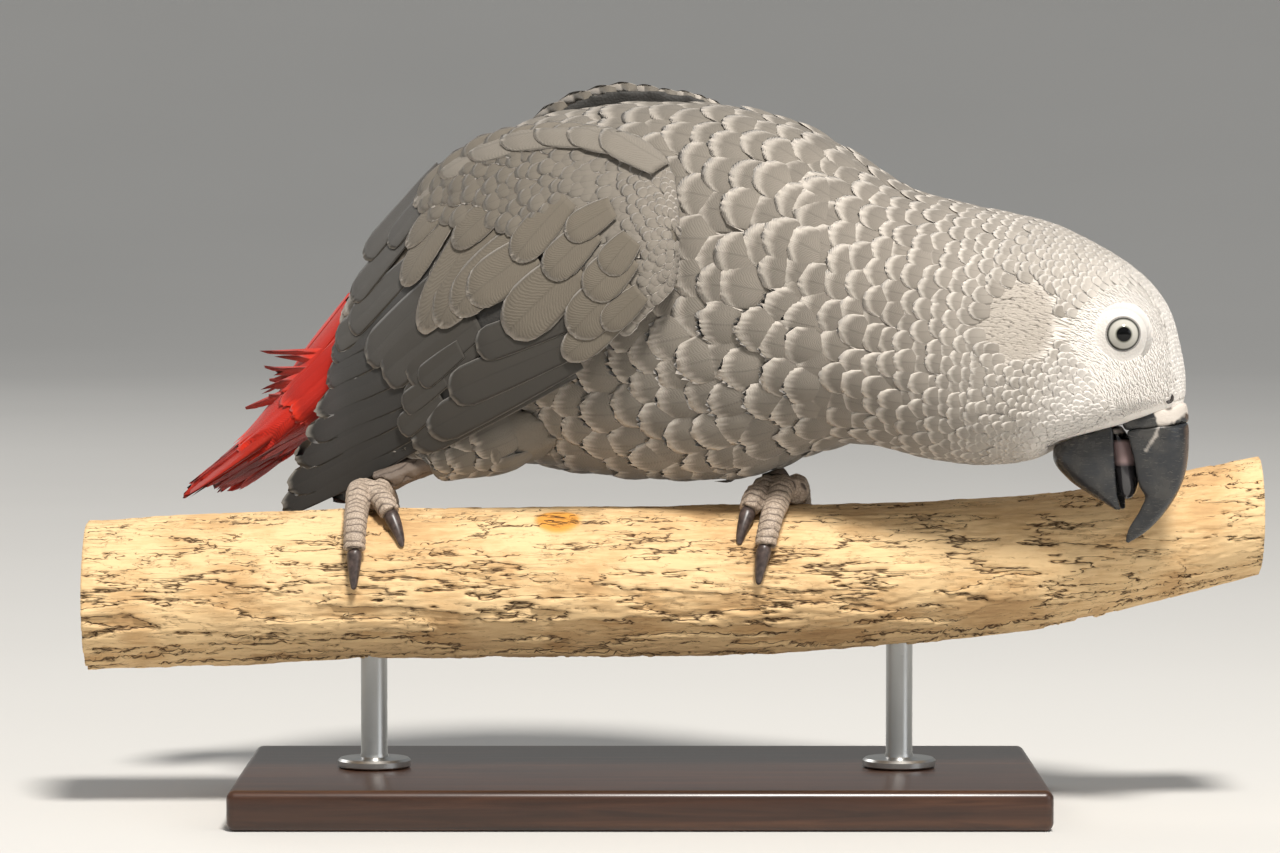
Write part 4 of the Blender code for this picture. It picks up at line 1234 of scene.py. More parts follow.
class PARROT_OT_wings(bpy.types.Operator):
    """Coverts, secondaries, primaries and scapulars of both folded wings"""
    bl_idname = "parrot.wings"
    bl_label = "Wings"

    def execute(self, context):
        settings = context.scene.parrot_coat
        flight_mat = flight_feather(settings)
        covert_mat = grey_feather(settings, "wing_covert_feather", 0.80, 0.45, 0.03, 1.4)
        broad_mat = grey_feather(settings, "greater_covert_feather", 0.80, 0.40, 0.03, 3.0)
        small = vane_kind("covert", 4, columns=8, rows=5, blunt=0.50, fray=0.015, cup=0.12, droop=0.05)
        broad = vane_kind("broad", 4, columns=16, rows=12, blunt=0.62, fray=0.008, waist=0.7, cup=0.3,
                          settle=1.5, droop=0.15)
        quills = vane_kind("quill", 5, columns=12, rows=20, blunt=0.84, fray=0.01, waist=0.76, cup=0.35,
                           droop=0.15, settle=1.5)
        for side, (sign, lift) in WING_SIDES.items():
            rng = np.random.default_rng(settings.seed + 20 + int(sign))
            surface = lambda t, v: wing(t, v, sign, lift, wing_inset(t))
            flip = sign > 0
            guide = guide_sheet("guide_wing_" + side, surface, np.linspace(-0.5, WING_RIBS, 130),
                                np.linspace(0.0 if lift else -0.14, 1.14, 44), flip)
            grown = [spans(surface, flip, PRIMARIES, 0.5 * MM, 0.0, rng, 1.14),
                     spans(surface, flip, SECONDARIES, 0.7 * MM, 0.16, rng, 1.3)]
            lay("flights_" + side, grown, quills, guide, flight_mat, "flight_feathers", "primaries_" + side)
            grown = [spans(surface, flip, GREATER_COVERTS, 0.75 * MM, 0.06, rng, 1.3)]
            lay("greater_coverts_" + side, grown, broad, guide, broad_mat, "grey_feathers")

            t, v = rows_on(surface, -0.1, COVERTS_END[0][1], lambda t: float(covert_at(t)[0]) * 0.86,
                           lambda t: float(covert_at(t)[0]) * 0.60, settings.seed + 9,
                           (0.04 if lift else 0.03, 0.985), 120)
            t, v = keep(t < read_off(COVERTS_END, v)[0], t, v)
            width, tall = covert_at(t)
            place, by_t, by_v, out = ways_over(surface, t, v, flip)
            lie = by_t + 0.18 * by_v
            kept = thinned(place, unit(lie), out, width * 0.84, width * 0.56)
            t, v, place, out, lie, width, tall = keep(kept, t, v, place, out, lie, width, tall)
            tall = tall * rng.uniform(0.85, 1.15, len(t))
            grown = grow(rng, place, lie, out, spot_of(v, t / WING_RIBS), 0.52 - 0.42 * smooth(0.5, 4.5, t),
                         width * 1.22, width * 1.9, tall, smooth(1.8, 3.2, t) * 0.9 * MM, sway=0.12,
                         tone=0.045)
            lay("coverts_" + side, [grown], small, guide, covert_mat, "grey_feathers")

            # Scapulars lie back from the shoulder over the wing's upper edge, and over the back
            # below the raised edge of the far wing
            grown = []
            if lift:
                t = np.linspace(2.6, 8.4, 9)
                for rank, far in enumerate((0.42, 0.74)):
                    angle = math.pi / 2 - sign * far - sign * 0.10 * smooth(6.5, 8.5, t)
                    place, by_t, by_a, out = ways_over(under_coat, t, angle, True)
                    root = spot_of(angle / TURN, t / LAST_RIB)
                    grown.append(grow(rng, place, -by_t - sign * 0.15 * by_a, out, root, 0.32, 13.0 * MM,
                                      24.0 * MM, 2.2 * MM, (0.5 + 0.6 * rank) * MM, sway=0.05, tone=0.04))
            else:
                grown = [spans(surface, flip, SCAPULARS, 0.9 * MM, 0.33, rng)]
            under = bpy.data.objects["guide_trunk" if lift else "guide_body"]
            lay("scapulars_" + side, grown, broad, under, broad_mat, "grey_feathers")
        return {"FINISHED"}


# ---------------------------------------------------------------- tail

def tail_tube(t, angle):
    """World points round the tail: t stations from its root, angle from its left side over its top."""
    x, z, half, thick, droop = along(TAIL, t).T
    thick, half = np.maximum(thick - 1.6 * MM, 0.4 * MM), np.maximum(half - 1.0 * MM, 1 * MM)
    height = thick * np.sin(angle) - droop * np.cos(angle) ** 2
    return to_world(np.stack([x - math.sin(TAIL_SLOPE) * height, half * np.cos(angle),
                              z + math.cos(TAIL_SLOPE) * height], 1))


class PARROT_OT_tail(bpy.types.Operator):
    """Tail feathers round the tail's core, their coverts and the loose barbs at their root"""
    bl_idname = "parrot.tail"
    bl_label = "Tail"

    def execute(self, context):
        settings = context.scene.parrot_coat
        rng = np.random.default_rng(settings.seed + 40)
        mat = red_feather(settings)
        quills = vane_kind("rectrix", 6, columns=18, rows=22, blunt=0.80, fray=0.03, waist=0.6, cup=0.4,
                           droop=0.05, settle=1.5)
        t, angle = grid_of(np.linspace(-0.6, 5.9, 70), ring_of(64))
        guide = as_guide(closed_tube("guide_tail", tail_tube(t, angle), 64))
        # The core ends short of the tips, so that only feathers reach them
        core = closed_tube("tail_core", tail_tube(t * 0.83, angle), 64)
        store(core.data, "shade", np.full(len(t), 0.3))
        store(core.data, "tone", np.full(len(t), -0.2))
        dress(core, mat, "red_feathers", "tail")

        # Rings of feathers: how many, first and last station, width and height in millimetres
        grown = []
        for count, first, last, width, lift in ((9, 0.1, 6.1, 12.0, 0.0), (9, -0.2, 5.5, 11.0, 0.35),
                                                (11, -0.4, 3.6, 9.0, 0.8), (12, -0.5, 2.0, 8.0, 1.1)):
            angle = (np.arange(count) + 0.5 * (lift > 0.2) + rng.uniform(-0.15, 0.15, count)) / count * TURN
            ends = last - rng.uniform(0, 0.35, count)
            starts = np.full(count, first)
            start, _, _, out = ways_over(tail_tube, starts, angle, False)
            # The long feathers are a darker red as painted shade, and the shorter coverts over their roots
            # stay bright
            shade = 0.34 + 0.30 * (last < 5) + rng.uniform(-0.14, 0.14, count)
            grown.append(grow(rng, start, tail_tube(starts + 0.9, angle) - start, out,
                              spot_of(angle / TURN, starts / 6.0), shade, width * MM,
                              np.linalg.norm(tail_tube(ends, angle) - start, axis=1), 0.8 * MM, lift * MM,
                              sway=0.05, tone=0.10))
        lay("tail_feathers", grown, quills, guide, mat, "red_feathers")

        # Barbs that have come apart at the side of the tail's root
        plane = lambda x, z: to_world(np.stack([x, -0.0115 - 0.05 * (x + 0.1), z], 1))
        guide = guide_sheet("guide_barbs", plane, np.linspace(-0.20, -0.05, 8), np.linspace(0.0, 0.12, 8),
                            True)
        count = 26
        x = rng.uniform(-0.1010, -0.0900, count)
        start = plane(x, 0.0655 + (x + 0.095) * 0.8 + rng.uniform(-0.006, 0.004, count))
        slope = rng.uniform(-0.16, 0.62, count)
        width, length = rng.uniform(1.6, 3.4, count) * MM, rng.uniform(16, 30, count) * MM
        lift, shade = rng.uniform(-1.5, 1.5, count) * MM, rng.uniform(0.5, 1.0, count)
        lie = directions(*zip(-np.cos(slope), np.zeros(count), -np.sin(slope)))
        out = np.tile(directions((0.0, -1.0, 0.0)), (count, 1))
        root = spot_of((x + 0.20) / 0.15, start[:, 2] - PERCH_HEIGHT)
        grown = grow(rng, start, lie, out, root, shade, width, length, 0.8 * MM, lift)
        slivers = vane_kind("sliver", 6, columns=4, rows=10, blunt=0.45, fray=0.28, waist=0.5, sweep=0.9)
        lay("tail_barbs", [grown], slivers, guide, mat, "red_feathers")
        return {"FINISHED"}


# ---------------------------------------------------------------- head pieces

def eye_material(settings):
    """Living eye under a wet cornea: pupil, straw iris with fine spokes, dark ring."""
    mat, tree = new_material("wet_eye")
    far = add(tree, "SeparateXYZ", add(tree, "UVMap", uv_map="iris"))
    wave = add(tree, "Math SINE", add(tree, "Math MULTIPLY", far.node.outputs[1], IRIS_SPOKES * TURN))
    edge, hole = settings.iris_radius / EYE_MAP, settings.pupil / EYE_MAP
    iris, ring = colour_of(settings, "iris", "iris_ring")
    stops = [(0.0, "070707"), (hole - 0.02, "070707"), (hole + 0.03, "77776c"), (hole + 0.10, iris),
             (edge - 0.07, iris), (edge, ring), (min(edge + 0.10, 1.0), "1d1c1b")]
    base = add(tree, "ValToRGB", far, stops=stops)
    whole = add(tree, "VectorMath SCALE", base, add(tree, "Math MULTIPLY_ADD", wave, 0.05, 1.0))
    return finish(mat, Base_Color=whole, Roughness=0.08, Coat_Weight=0.7, Coat_Roughness=0.02,
                  Coat_IOR=1.34, Specular_IOR_Level=0.1)


class PARROT_OT_eyes(bpy.types.Operator):
    """Both eyes, each a ball with a corneal bulge"""
    bl_idname = "parrot.eyes"
    bl_label = "Eyes"

    def execute(self, context):
        mat = eye_material(context.scene.parrot_head)
        polar, turn = grid_of(np.linspace(0.012, math.pi - 0.012, 48), ring_of(72))
        bulge = 0.45 * MM * np.exp(-((polar / 0.62) ** 2))
        for side in WING_SIDES:
            centre, radius, (out, ahead, over) = eye_of(side)
            way = (np.cos(polar)[:, None] * out + np.sin(polar)[:, None]
                   * (np.cos(turn)[:, None] * ahead + np.sin(turn)[:, None] * over))
            eye = closed_tube("eye_ball_" + side, centre + way * (radius + bulge)[:, None], 72)
            far = np.where(polar < math.pi / 2, np.sin(polar), 1.0) * radius / EYE_MAP
            write_uv(eye.data, "iris", np.stack([np.clip(far, 0, 1), turn / TURN], 1))
            dress(eye, mat, "eye", "eye_" + side)
        return {"FINISHED"}


def horn_material(settings):
    """Bill keratin: near-black, brown where it thins at its ridge, with worn scratches.

    The attribute bare turns it to the whitish skin over the bill's root.
    """
    mat, tree = new_material("bill_keratin")
    place = add(tree, "TexCoord", out="Object")
    worn, thin, bare = (add(tree, "Attribute", attribute_name=key, out="Fac")
                        for key in ("worn", "thin", "bare"))
    # Scratches run level, about 0.4 mm apart and 2.4 mm long. Dust lies in clouds of about 5 mm
    level = add(tree, "Mapping", place, {"Scale": (420.0, 420.0, 2300.0), "Rotation": (0.0, 0.35, 0.0)})
    scratch = add(tree, "TexNoise", level, 1.0, 4.0, 0.65)
    marks = add(tree, "Math MULTIPLY", add(tree, "MapRange", scratch, 0.55, 0.80), worn)
    dust = add(tree, "MapRange", add(tree, "TexNoise", place, 190.0, 5.0), 0.42, 0.75, 0.0, 0.13)
    pale = add(tree, "Math MAXIMUM", marks, dust)
    horn, scuff, edge, cere = colour_of(settings, "horn", "scuff", "edge", "cere")
    brown = add(tree, "Mix RGBA", thin, add(tree, "Mix RGBA", pale, horn, scuff), edge)
    matte = add(tree, "Math ADD", pale, bare, use_clamp=True)
    fine = add(tree, "Mix FLOAT", bare, scratch, add(tree, "TexNoise", place, 1300.0, 3.0))
    bump = add(tree, "Bump", {"Height": fine, "Strength": 0.3, "Distance": 0.2 * MM})
    return finish(mat, Base_Color=add(tree, "Mix RGBA", bare, brown, cere), Normal=bump,
                  Roughness=add(tree, "MapRange", matte, 0.0, 1.0, 0.24, 0.72))


def tongue_material(settings):
    """Wet, blunt tongue: a dark glossy tip and grey-pink flesh, then two black bands of painted shade for
    the dark mouth above it, split by a pale band.
    """
    mat, tree = new_material("wet_tongue")
    flesh, tip, dark = tuple(settings.tongue), "2c2a2c", "0a0808"
    # The two black bands are painted shade of the mouth's dark gap over the tongue
    base = add(tree, "ValToRGB", add(tree, "Attribute", attribute_name="level", out="Fac"),
               stops=[(0.0, tip), (0.30, tip), (0.38, flesh), (0.64, flesh), (0.69, dark), (0.76, dark),
                      (0.80, "c9bfb8"), (0.88, "b7aba4"), (0.91, dark), (1.0, dark)])
    return finish(mat, Base_Color=base, Roughness=0.2, Coat_Weight=0.8, Coat_Roughness=0.08)


def near_line(points, line):
    """How far each place is from a line of straight steps."""
    line = np.asarray(line)
    best = np.full(len(points), 1.0)
    for a, b in zip(line, line[1:]):
        f = np.clip((points - a) @ (b - a) / ((b - a) @ (b - a)), 0, 1)
        best = np.minimum(best, np.linalg.norm(points - a - f[:, None] * (b - a), axis=1))
    return best


class PARROT_OT_bill(bpy.types.Operator):
    """Both halves of the bill, the cere with its nostrils, and the tongue"""
    bl_idname = "parrot.bill"
    bl_label = "Bill"

    def execute(self, context):
        settings = context.scene.parrot_head
        horn = horn_material(settings)
        # How far each stands out of its solid in millimetres, and how worn it is
        for node, slot, grown, wear in (("bill_upper", "bill_horn", 0.18, 0.6),
                                        ("bill_lower", "bill_horn", 0.15, 0.95),
                                        ("cere", "cere_skin", 0.45, 0.6)):
            piece = node_copy(node + "_keratin", node, 4 if node == "cere" else 3)
            points, normals = shape_of(piece.data)
            bird = to_bird(points)
            ripple = lattice_noise(bird, 3.2 * MM, 3) - 0.5
            fine = lattice_noise(bird * (1.0, 1.0, 3.0), 0.9 * MM, 5) - 0.5
            points += normals * ((grown + 0.22 * ripple + 0.05 * fine) * MM)[:, None]
            move_points(piece.data, points)
            facing = to_bird(points + normals) - bird
            if node == "bill_lower":
                thin = smooth(0.80, 1.0, -0.7 * facing[:, 0] - 0.75 * facing[:, 2]) * 0.9
                bare = np.zeros(len(bird))
            else:
                thin = smooth(0.86, 0.99, facing[:, 0]) * 0.6
                over = bird[:, 2] - read_off(CERE_EDGE, bird[:, 0])[0]
                streak = near_line(bird[:, [0, 2]], STREAK)
                ragged = 1.6 * (lattice_noise(bird, 1.1 * MM, 14) - 0.5) * MM
                bare = np.maximum(smooth(-0.6 * MM, 0.6 * MM, over + ragged),
                                  0.55 * (1 - smooth(0.15 * MM, 0.60 * MM, streak + 0.4 * ragged)))
            store(piece.data, "thin", thin)
            store(piece.data, "bare", bare)
            store(piece.data, "worn", wear * lattice_noise(bird, 5 * MM, 9))
            dress(piece, horn, slot, node)

        pit = finish(new_material("nostril_skin")[0], Base_Color=linear("2a2422"), Roughness=0.6)
        guide = bpy.data.objects["guide_body"]
        skin = surface_tree(guide.data)
        for side in WING_SIDES:
            centre, ways = nostril_of(side)
            centre = np.array(skin.find_nearest(centre + ways[0] * 4 * MM)[0]) - ways[0] * 4.5 * MM
            profile = [(far * MM, (4.9 + high) * MM, 0, 0) for far, high in NOSTRIL_RIM]
            piece = rim_piece("nostril_" + side, centre, ways, (1.05 * MM, 1.4 * MM), profile, guide)
            dress(piece, pit, "cere_skin")

        tongue = node_copy("tongue_flesh", "tongue", 3)
        points, normals = shape_of(tongue.data)
        move_points(tongue.data, points + normals * 0.5 * MM)
        store(tongue.data, "level", np.clip((to_bird(points)[:, 2] - 0.0310) / 0.0200, 0, 1))
        dress(tongue, tongue_material(settings), "tongue_skin", "tongue")
        return {"FINISHED"}


# ---------------------------------------------------------------- feet

def perch_at(x):
    """The branch's axis (Y and height) and radius at places along X."""
    rows = np.asarray(PERCH)
    x = np.atleast_1d(np.asarray(x, float))
    k = np.clip(np.searchsorted(rows[:, 0], x) - 1, 0, len(rows) - 2)
    _, up, side, radius = along(PERCH, k + (x - rows[k, 0]) / (rows[k + 1, 0] - rows[k, 0])).T
    return side, PERCH_HEIGHT + up, radius


def foot_material(settings):
    """Parrot foot skin: dusty grey scales with dark skin in the creases between them, and the same dark
    colour laid over most of the shanks as painted shade.
    """
    mat, tree = new_material("scaled_foot_skin")
    # Small scales stand about 0.9 mm apart between the bands
    # The dark creases, and on the shanks painted shade as well
    crease = add(tree, "Attribute", attribute_name="crease", out="Fac")
    cells = add(tree, "TexVoronoi", add(tree, "TexCoord", out="Object"), 1 / (0.9 * MM),
                feature="DISTANCE_TO_EDGE")
    split = add(tree, "MapRange", cells, 0.0, 0.12, 0.55, 0.0)
    skin, line = colour_of(settings, "foot", "foot_line")
    base = add(tree, "Mix RGBA", add(tree, "Math MAXIMUM", crease, split), skin, line)
    bump = add(tree, "Bump", {"Height": split, "Strength": 0.5, "Distance": 0.2 * MM}, invert=True)
    return finish(mat, Base_Color=base, Normal=bump, Roughness=0.62)


def claw_material(settings):
    """Claw keratin, dark and slightly glossy, with paler mottling."""
    mat, tree = new_material("claw_keratin")
    # Mottles about 1.4 mm across
    mottle = add(tree, "TexNoise", add(tree, "TexCoord", out="Object"), 700.0, 3.0)
    base = add(tree, "ValToRGB", mottle, stops=[(0.35, tuple(settings.claw)), (0.75, "5b4d48")])
    return finish(mat, Base_Color=base, Roughness=0.35)


class PARROT_OT_feet(bpy.types.Operator):
    """Shanks, feet with banded scales, and claws"""
    bl_idname = "parrot.feet"
    bl_label = "Feet"

    def execute(self, context):
        settings = context.scene.parrot_perch
        skin, horn = foot_material(settings), claw_material(settings)
        for side in WING_SIDES:
            # The shanks are darkened to three quarters at least, as painted shade
            for name, painted_shade in (("foot_" + side, 0.0), ("shank_" + side, 0.75)):
                piece = node_copy(name + "_skin", name)
                melt(piece, 0.45 * MM, 5)
                points, normals = shape_of(piece.data)
                y, z, radius = perch_at(points[:, 0])
                round_branch = np.arctan2(points[:, 1] - y, points[:, 2] - z) * (radius + 4 * MM)
                wavy = round_branch + 0.9 * MM * (lattice_noise(points, 2.5 * MM, 8) - 0.5)
                band = np.abs(np.sin(math.pi * wavy / (2.1 * MM)))
                store(piece.data, "crease", np.maximum(1 - smooth(0.05, 0.50, band), painted_shade))
                lumps = lattice_noise(points, 1.3 * MM, 2) - 0.5
                swell = (0.42 * (band**0.6 - 0.6) + 0.16 * lumps)[:, None] * MM
                move_points(piece.data, points + normals * swell)
                dress(piece, skin, "foot_skin", name)
            for toe in range(1, 5):
                name = f"claw_{side}_{toe}"
                piece = node_copy(name + "_horn", name, 2)
                points, normals = shape_of(piece.data)
                move_points(piece.data, points + normals * 0.6 * MM)
                dress(piece, horn, "claw_horn", name)
        return {"FINISHED"}


# ---------------------------------------------------------------- branch

def bark_field(tree, place, settings):
    """Open cracks and finer ones (both 0 to 1), and a tone, from a place on the bark.

    Cracks follow the level lines of a noise drawn out along the branch, where a second noise opens
    them, and widen below. It works in a material and in Geometry Nodes alike, so that colour and
    relief agree.
    """
    long, wide = settings.plate_long, settings.plate_wide
    low = add(tree, "MapRange", add(tree, "SeparateXYZ", place, out="Z"), PERCH_HEIGHT + 8 * MM,
              PERCH_HEIGHT - 14 * MM)
    lines, found = [], []
    # Each kind's size as a share of the open cracks', where it is shut and wide open, and its width
    for share, shut, wide_open, most in ((1.0, 0.37, 0.62, 0.023), (0.45, 0.43, 0.70, 0.013)):
        scale = tuple(0.5 / (size * share) for size in (long, wide, wide))
        field = add(tree, "TexNoise", add(tree, "VectorMath MULTIPLY", place, scale), 1.0, 4.0, 0.62)
        # It opens in patches about 25 mm long and 9 mm wide
        scale = (40.0 / share**0.5, 110.0, 110.0)
        patches = add(tree, "TexNoise", add(tree, "VectorMath MULTIPLY", place, scale), 1.0, 2.0)
        more = add(tree, "Math MULTIPLY_ADD", low, 0.12, patches)
        width = add(tree, "MapRange", more, shut, wide_open, 0.0002, most)
        lines.append(add(tree, "Math SUBTRACT", field, 0.5))
        ratio = add(tree, "Math DIVIDE", add(tree, "Math ABSOLUTE", lines[-1]), width, use_clamp=True)
        found.append(add(tree, "Math SUBTRACT", 1.0, ratio, use_clamp=True))
    # One side of each open crack stands over the other as a ledge
    flake = add(tree, "MapRange", lines[0], -0.03, 0.01)
    return *found, add(tree, "Math MULTIPLY", flake, add(tree, "Math MULTIPLY_ADD", low, 0.8, 0.2))


def bark_tree(settings):
    """Splits the bark along its radial attribute by the same field that colours it."""
    tree, given = new_group("split_bark", Tube="Geometry", Relief="Float", Finish="Material")
    place, radial, knot = (
        add(tree, "GeometryNodeInputNamedAttribute", name, data_type=kind)
        for name, kind in (("rest", "FLOAT_VECTOR"), ("radial", "FLOAT_VECTOR"), ("knot", "FLOAT")))
    crack, fine, tone = bark_field(tree, place, settings)
    whole = add(tree, "Math MULTIPLY_ADD", fine, 0.3, crack)
    split = add(tree, "Math MULTIPLY", whole, add(tree, "Math SUBTRACT", 1.0, knot, use_clamp=True))
    step = add(tree, "Math MULTIPLY_ADD", tone, 0.8, add(tree, "Math MULTIPLY", split, -1.0))
    offset = add(tree, "VectorMath SCALE", radial, add(tree, "Math MULTIPLY", step, given["Relief"]))
    moved = add(tree, "GeometryNodeSetPosition", {"Geometry": given["Tube"], "Offset": offset})
    real = add(tree, "GeometryNodeRealizeInstances", moved)
    add(tree, "NodeGroupOutput",
        add(tree, "GeometryNodeSetMaterial", {"Geometry": real, "Material": given["Finish"]}))
    return tree


def bark_material(settings):
    """Sun-dried bark: pale wood streaked along the branch, dark level cracks, a resinous knot."""
    mat, tree = new_material("dry_bark")
    place = add(tree, "Attribute", attribute_name="rest", out="Vector")
    knot = add(tree, "Attribute", attribute_name="knot", out="Fac")
    crack, fine, tone = bark_field(tree, place, settings)
    # Fibres are about 1.4 mm wide and 11 mm long, and the tan blotches about 22 mm across
    fibre = add(tree, "Mapping", place, {"Scale": (90.0, 700.0, 700.0)})
    streak = add(tree, "TexNoise", fibre, 1.0, 5.0, 0.7)
    mixed = add(tree, "Math MULTIPLY_ADD", streak, 0.6, add(tree, "TexNoise", place, 45.0, 5.0))
    level = add(tree, "MapRange", add(tree, "Math MULTIPLY_ADD", tone, 0.15, mixed), 0.50, 1.10)
    tan, pale, deep, amber = colour_of(settings, "plate", "pale", "crack", "knot")
    base = add(tree, "ValToRGB", level, stops=[(0.0, "b58f62"), (0.35, tan), (0.7, pale)])
    dark = add(tree, "Math MULTIPLY_ADD", fine, 0.4, crack, use_clamp=True)
    split = add(tree, "Mix RGBA", dark, add(tree, "Mix RGBA", knot, base, amber), deep)
    low = add(tree, "Math MULTIPLY_ADD", dark, -2.0, streak)
    bump = add(tree, "Bump", {"Height": low, "Strength": 0.7, "Distance": 0.4 * MM})
    return finish(mat, Base_Color=split, Normal=bump, Roughness=0.85)


def cut_wood_material(settings):
    """Sawn end grain: growth rings about 1.3 mm apart, wandering a little."""
    mat, tree = new_material("sawn_end_grain")
    rings = add(tree, "Attribute", attribute_name="rings", out="Fac")
    wander = add(tree, "TexNoise", add(tree, "TexCoord", out="Object"), 90.0, 4.0)
    phase = add(tree, "Math MULTIPLY", rings, TURN / (1.3 * MM))
    wave = add(tree, "Math SINE", add(tree, "Math MULTIPLY_ADD", wander, 5.0, phase))
    base = add(tree, "ValToRGB", add(tree, "MapRange", wave, -1.0),
               stops=[(0.0, "9c7440"), (0.55, tuple(settings.heart)), (1.0, "ddbd8b")])
    return finish(mat, Base_Color=base, Roughness=0.75)


class PARROT_OT_perch(bpy.types.Operator):
    """The cut length of branch, with cracked bark, a knot and sawn ends"""
    bl_idname = "parrot.perch"
    bl_label = "Branch"

    def execute(self, context):
        settings = context.scene.parrot_perch
        first, last = PERCH[0][0] + 0.3 * MM, PERCH[-1][0] - 0.3 * MM
        x, angle = grid_of(np.linspace(first, last, 400), ring_of(240))
        y, z, radius = perch_at(x)
        way = np.stack([np.zeros(len(x)), np.cos(angle), np.sin(angle)], 1)
        flat = np.stack([x, way[:, 1] * radius, way[:, 2] * radius], 1)
        far = np.hypot((x - KNOT[0]) / KNOT[2], (angle - KNOT[1]) * radius / KNOT[3])
        knot = 1 - smooth(0.75, 1.1, far)
        rough = lattice_noise(flat * (0.45, 1.6, 1.6), 1.6 * MM, 25) - 0.5
        swell = lattice_noise(flat * (0.6, 1.0, 1.0), 12 * MM, 26) - 0.5
        ripple = knot * 0.3 * np.cos(far * 9.0)
        # The bark stands out of its solid by 0.1 mm at most
        reach = radius + np.minimum(0.5 * rough + 0.8 * swell - 0.35 + ripple, 0.1) * MM
        points = np.stack([x, y, z], 1) + way * reach[:, None]
        bark = closed_tube("branch_bark", points, 240)
        store(bark.data, "rest", points, "FLOAT_VECTOR")
        store(bark.data, "radial", way, "FLOAT_VECTOR")
        store(bark.data, "knot", knot)
        mat = bark_material(settings)
        run_group(bark, bark_tree(settings), Relief=settings.relief, Finish=mat)
        dress(bark, mat, "branch_wood", "perch")
        wood = cut_wood_material(settings)
        for label, at, way in (("left", first, -1.0), ("right", last, 1.0)):
            share, turn = grid_of(np.linspace(0.02, 1, 18), ring_of(96))
            y, z, radius = (float(a[0]) for a in perch_at(at))
            reach = share * (radius - 1.3 * MM)
            face = np.append(at + way * 0.22 * MM * (share < 0.985), np.full(96, at - way * 1.5 * MM))
            reach, turn = np.append(reach, reach[-96:]), np.append(turn, turn[-96:])
            disc = np.stack([face, y + np.cos(turn) * reach, z + np.sin(turn) * reach], 1)
            piece = closed_tube("branch_end_" + label, disc, 96)
            store(piece.data, "rings", reach)
            dress(piece, wood, "branch_wood")
        return {"FINISHED"}


# ---------------------------------------------------------------- stand and stage

def base_material(settings):
    """Oiled, dark-stained hardwood with its grain along the base, satin from wax."""
    mat, tree = new_material("stained_hardwood")
    # Grain about 4 mm wide and 70 mm long
    place = add(tree, "Mapping", add(tree, "TexCoord", out="Object"), {"Scale": (14.0, 260.0, 260.0)})
    grain = add(tree, "TexNoise", place, 1.0, 8.0, 0.6, {"Distortion": 0.6})
    base = add(tree, "ValToRGB", grain,
               stops=[(0.30, "24140c"), (0.55, tuple(settings.base)), (0.80, "5a3a26")])
    bump = add(tree, "Bump", {"Height": grain, "Strength": 0.15, "Distance": 0.3 * MM})
    return finish(mat, Base_Color=base, Normal=bump, Roughness=0.32, Coat_Weight=0.25, Coat_Roughness=0.2)


def steel_material():
    """Brushed steel: fine lines round the turned rods."""
    mat, tree = new_material("brushed_steel")
    # Lines about 0.2 mm apart, coarser than real brushing, so that they show
    place = add(tree, "Mapping", add(tree, "TexCoord", out="Object"), {"Scale": (40.0, 40.0, 6000.0)})
    rough = add(tree, "MapRange", add(tree, "TexNoise", place, 1.0, 3.0), 0.0, 1.0, 0.22, 0.42)
    return finish(mat, Base_Color=linear("b9b9b7"), Metallic=1.0, Roughness=rough)


def turned(name, profile, centre, turns=64):
    """A round piece from radii and heights, spun about an upright axis."""
    bm = bmesh.new()
    ring = [bm.verts.new((radius, 0.0, z)) for radius, z in profile]
    edges = [bm.edges.new(pair) for pair in zip(ring, ring[1:])]
    bmesh.ops.spin(bm, geom=ring + edges, axis=(0, 0, 1), cent=(0, 0, 0), angle=TURN, steps=turns)
    bmesh.ops.remove_doubles(bm, verts=bm.verts, dist=1e-6)
    bmesh.ops.recalc_face_normals(bm, faces=bm.faces)
    bm.transform(Matrix.Translation(centre))
    return from_bmesh(name, bm, 35)


class PARROT_OT_stand(bpy.types.Operator):
    """Display stand: a bevelled wooden base and two steel rods"""
    bl_idname = "parrot.stand"
    bl_label = "Stand"

    def execute(self, context):
        low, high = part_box("stand_base")
        bm = bmesh.new()
        bmesh.ops.create_cube(bm, size=1.0)
        bm.transform(Matrix.Translation((low + high) / 2) @ Matrix.Diagonal((*(high - low), 1.0)))
        bmesh.ops.bevel(bm, geom=bm.edges[:], offset=2.5 * MM, segments=5, profile=0.5, affect="EDGES")
        dress(from_bmesh("stand_plinth", bm, 40), base_material(context.scene.parrot_perch), "stand_wood",
              "stand_base")
        steel = steel_material()
        for side in WING_SIDES:
            low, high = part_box("stand_rod_" + side)
            foot, rod, tall = (high.x - low.x) / 2, 4.0 * MM, high.z - low.z
            profile = [(0, 0), (foot - 0.4 * MM, 0), (foot, 0.4 * MM), (foot, 1.9 * MM),
                       (foot - 0.7 * MM, 2.6 * MM), (rod + 1.6 * MM, 2.6 * MM), (rod + 0.4 * MM, 3.0 * MM),
                       (rod, 4.2 * MM), (rod, tall), (0, tall)]
            centre = ((low.x + high.x) / 2, (low.y + high.y) / 2, low.z)
            dress(turned("stand_post_" + side, profile, centre), steel, "stand_steel", "stand_rod_" + side)
        return {"FINISHED"}


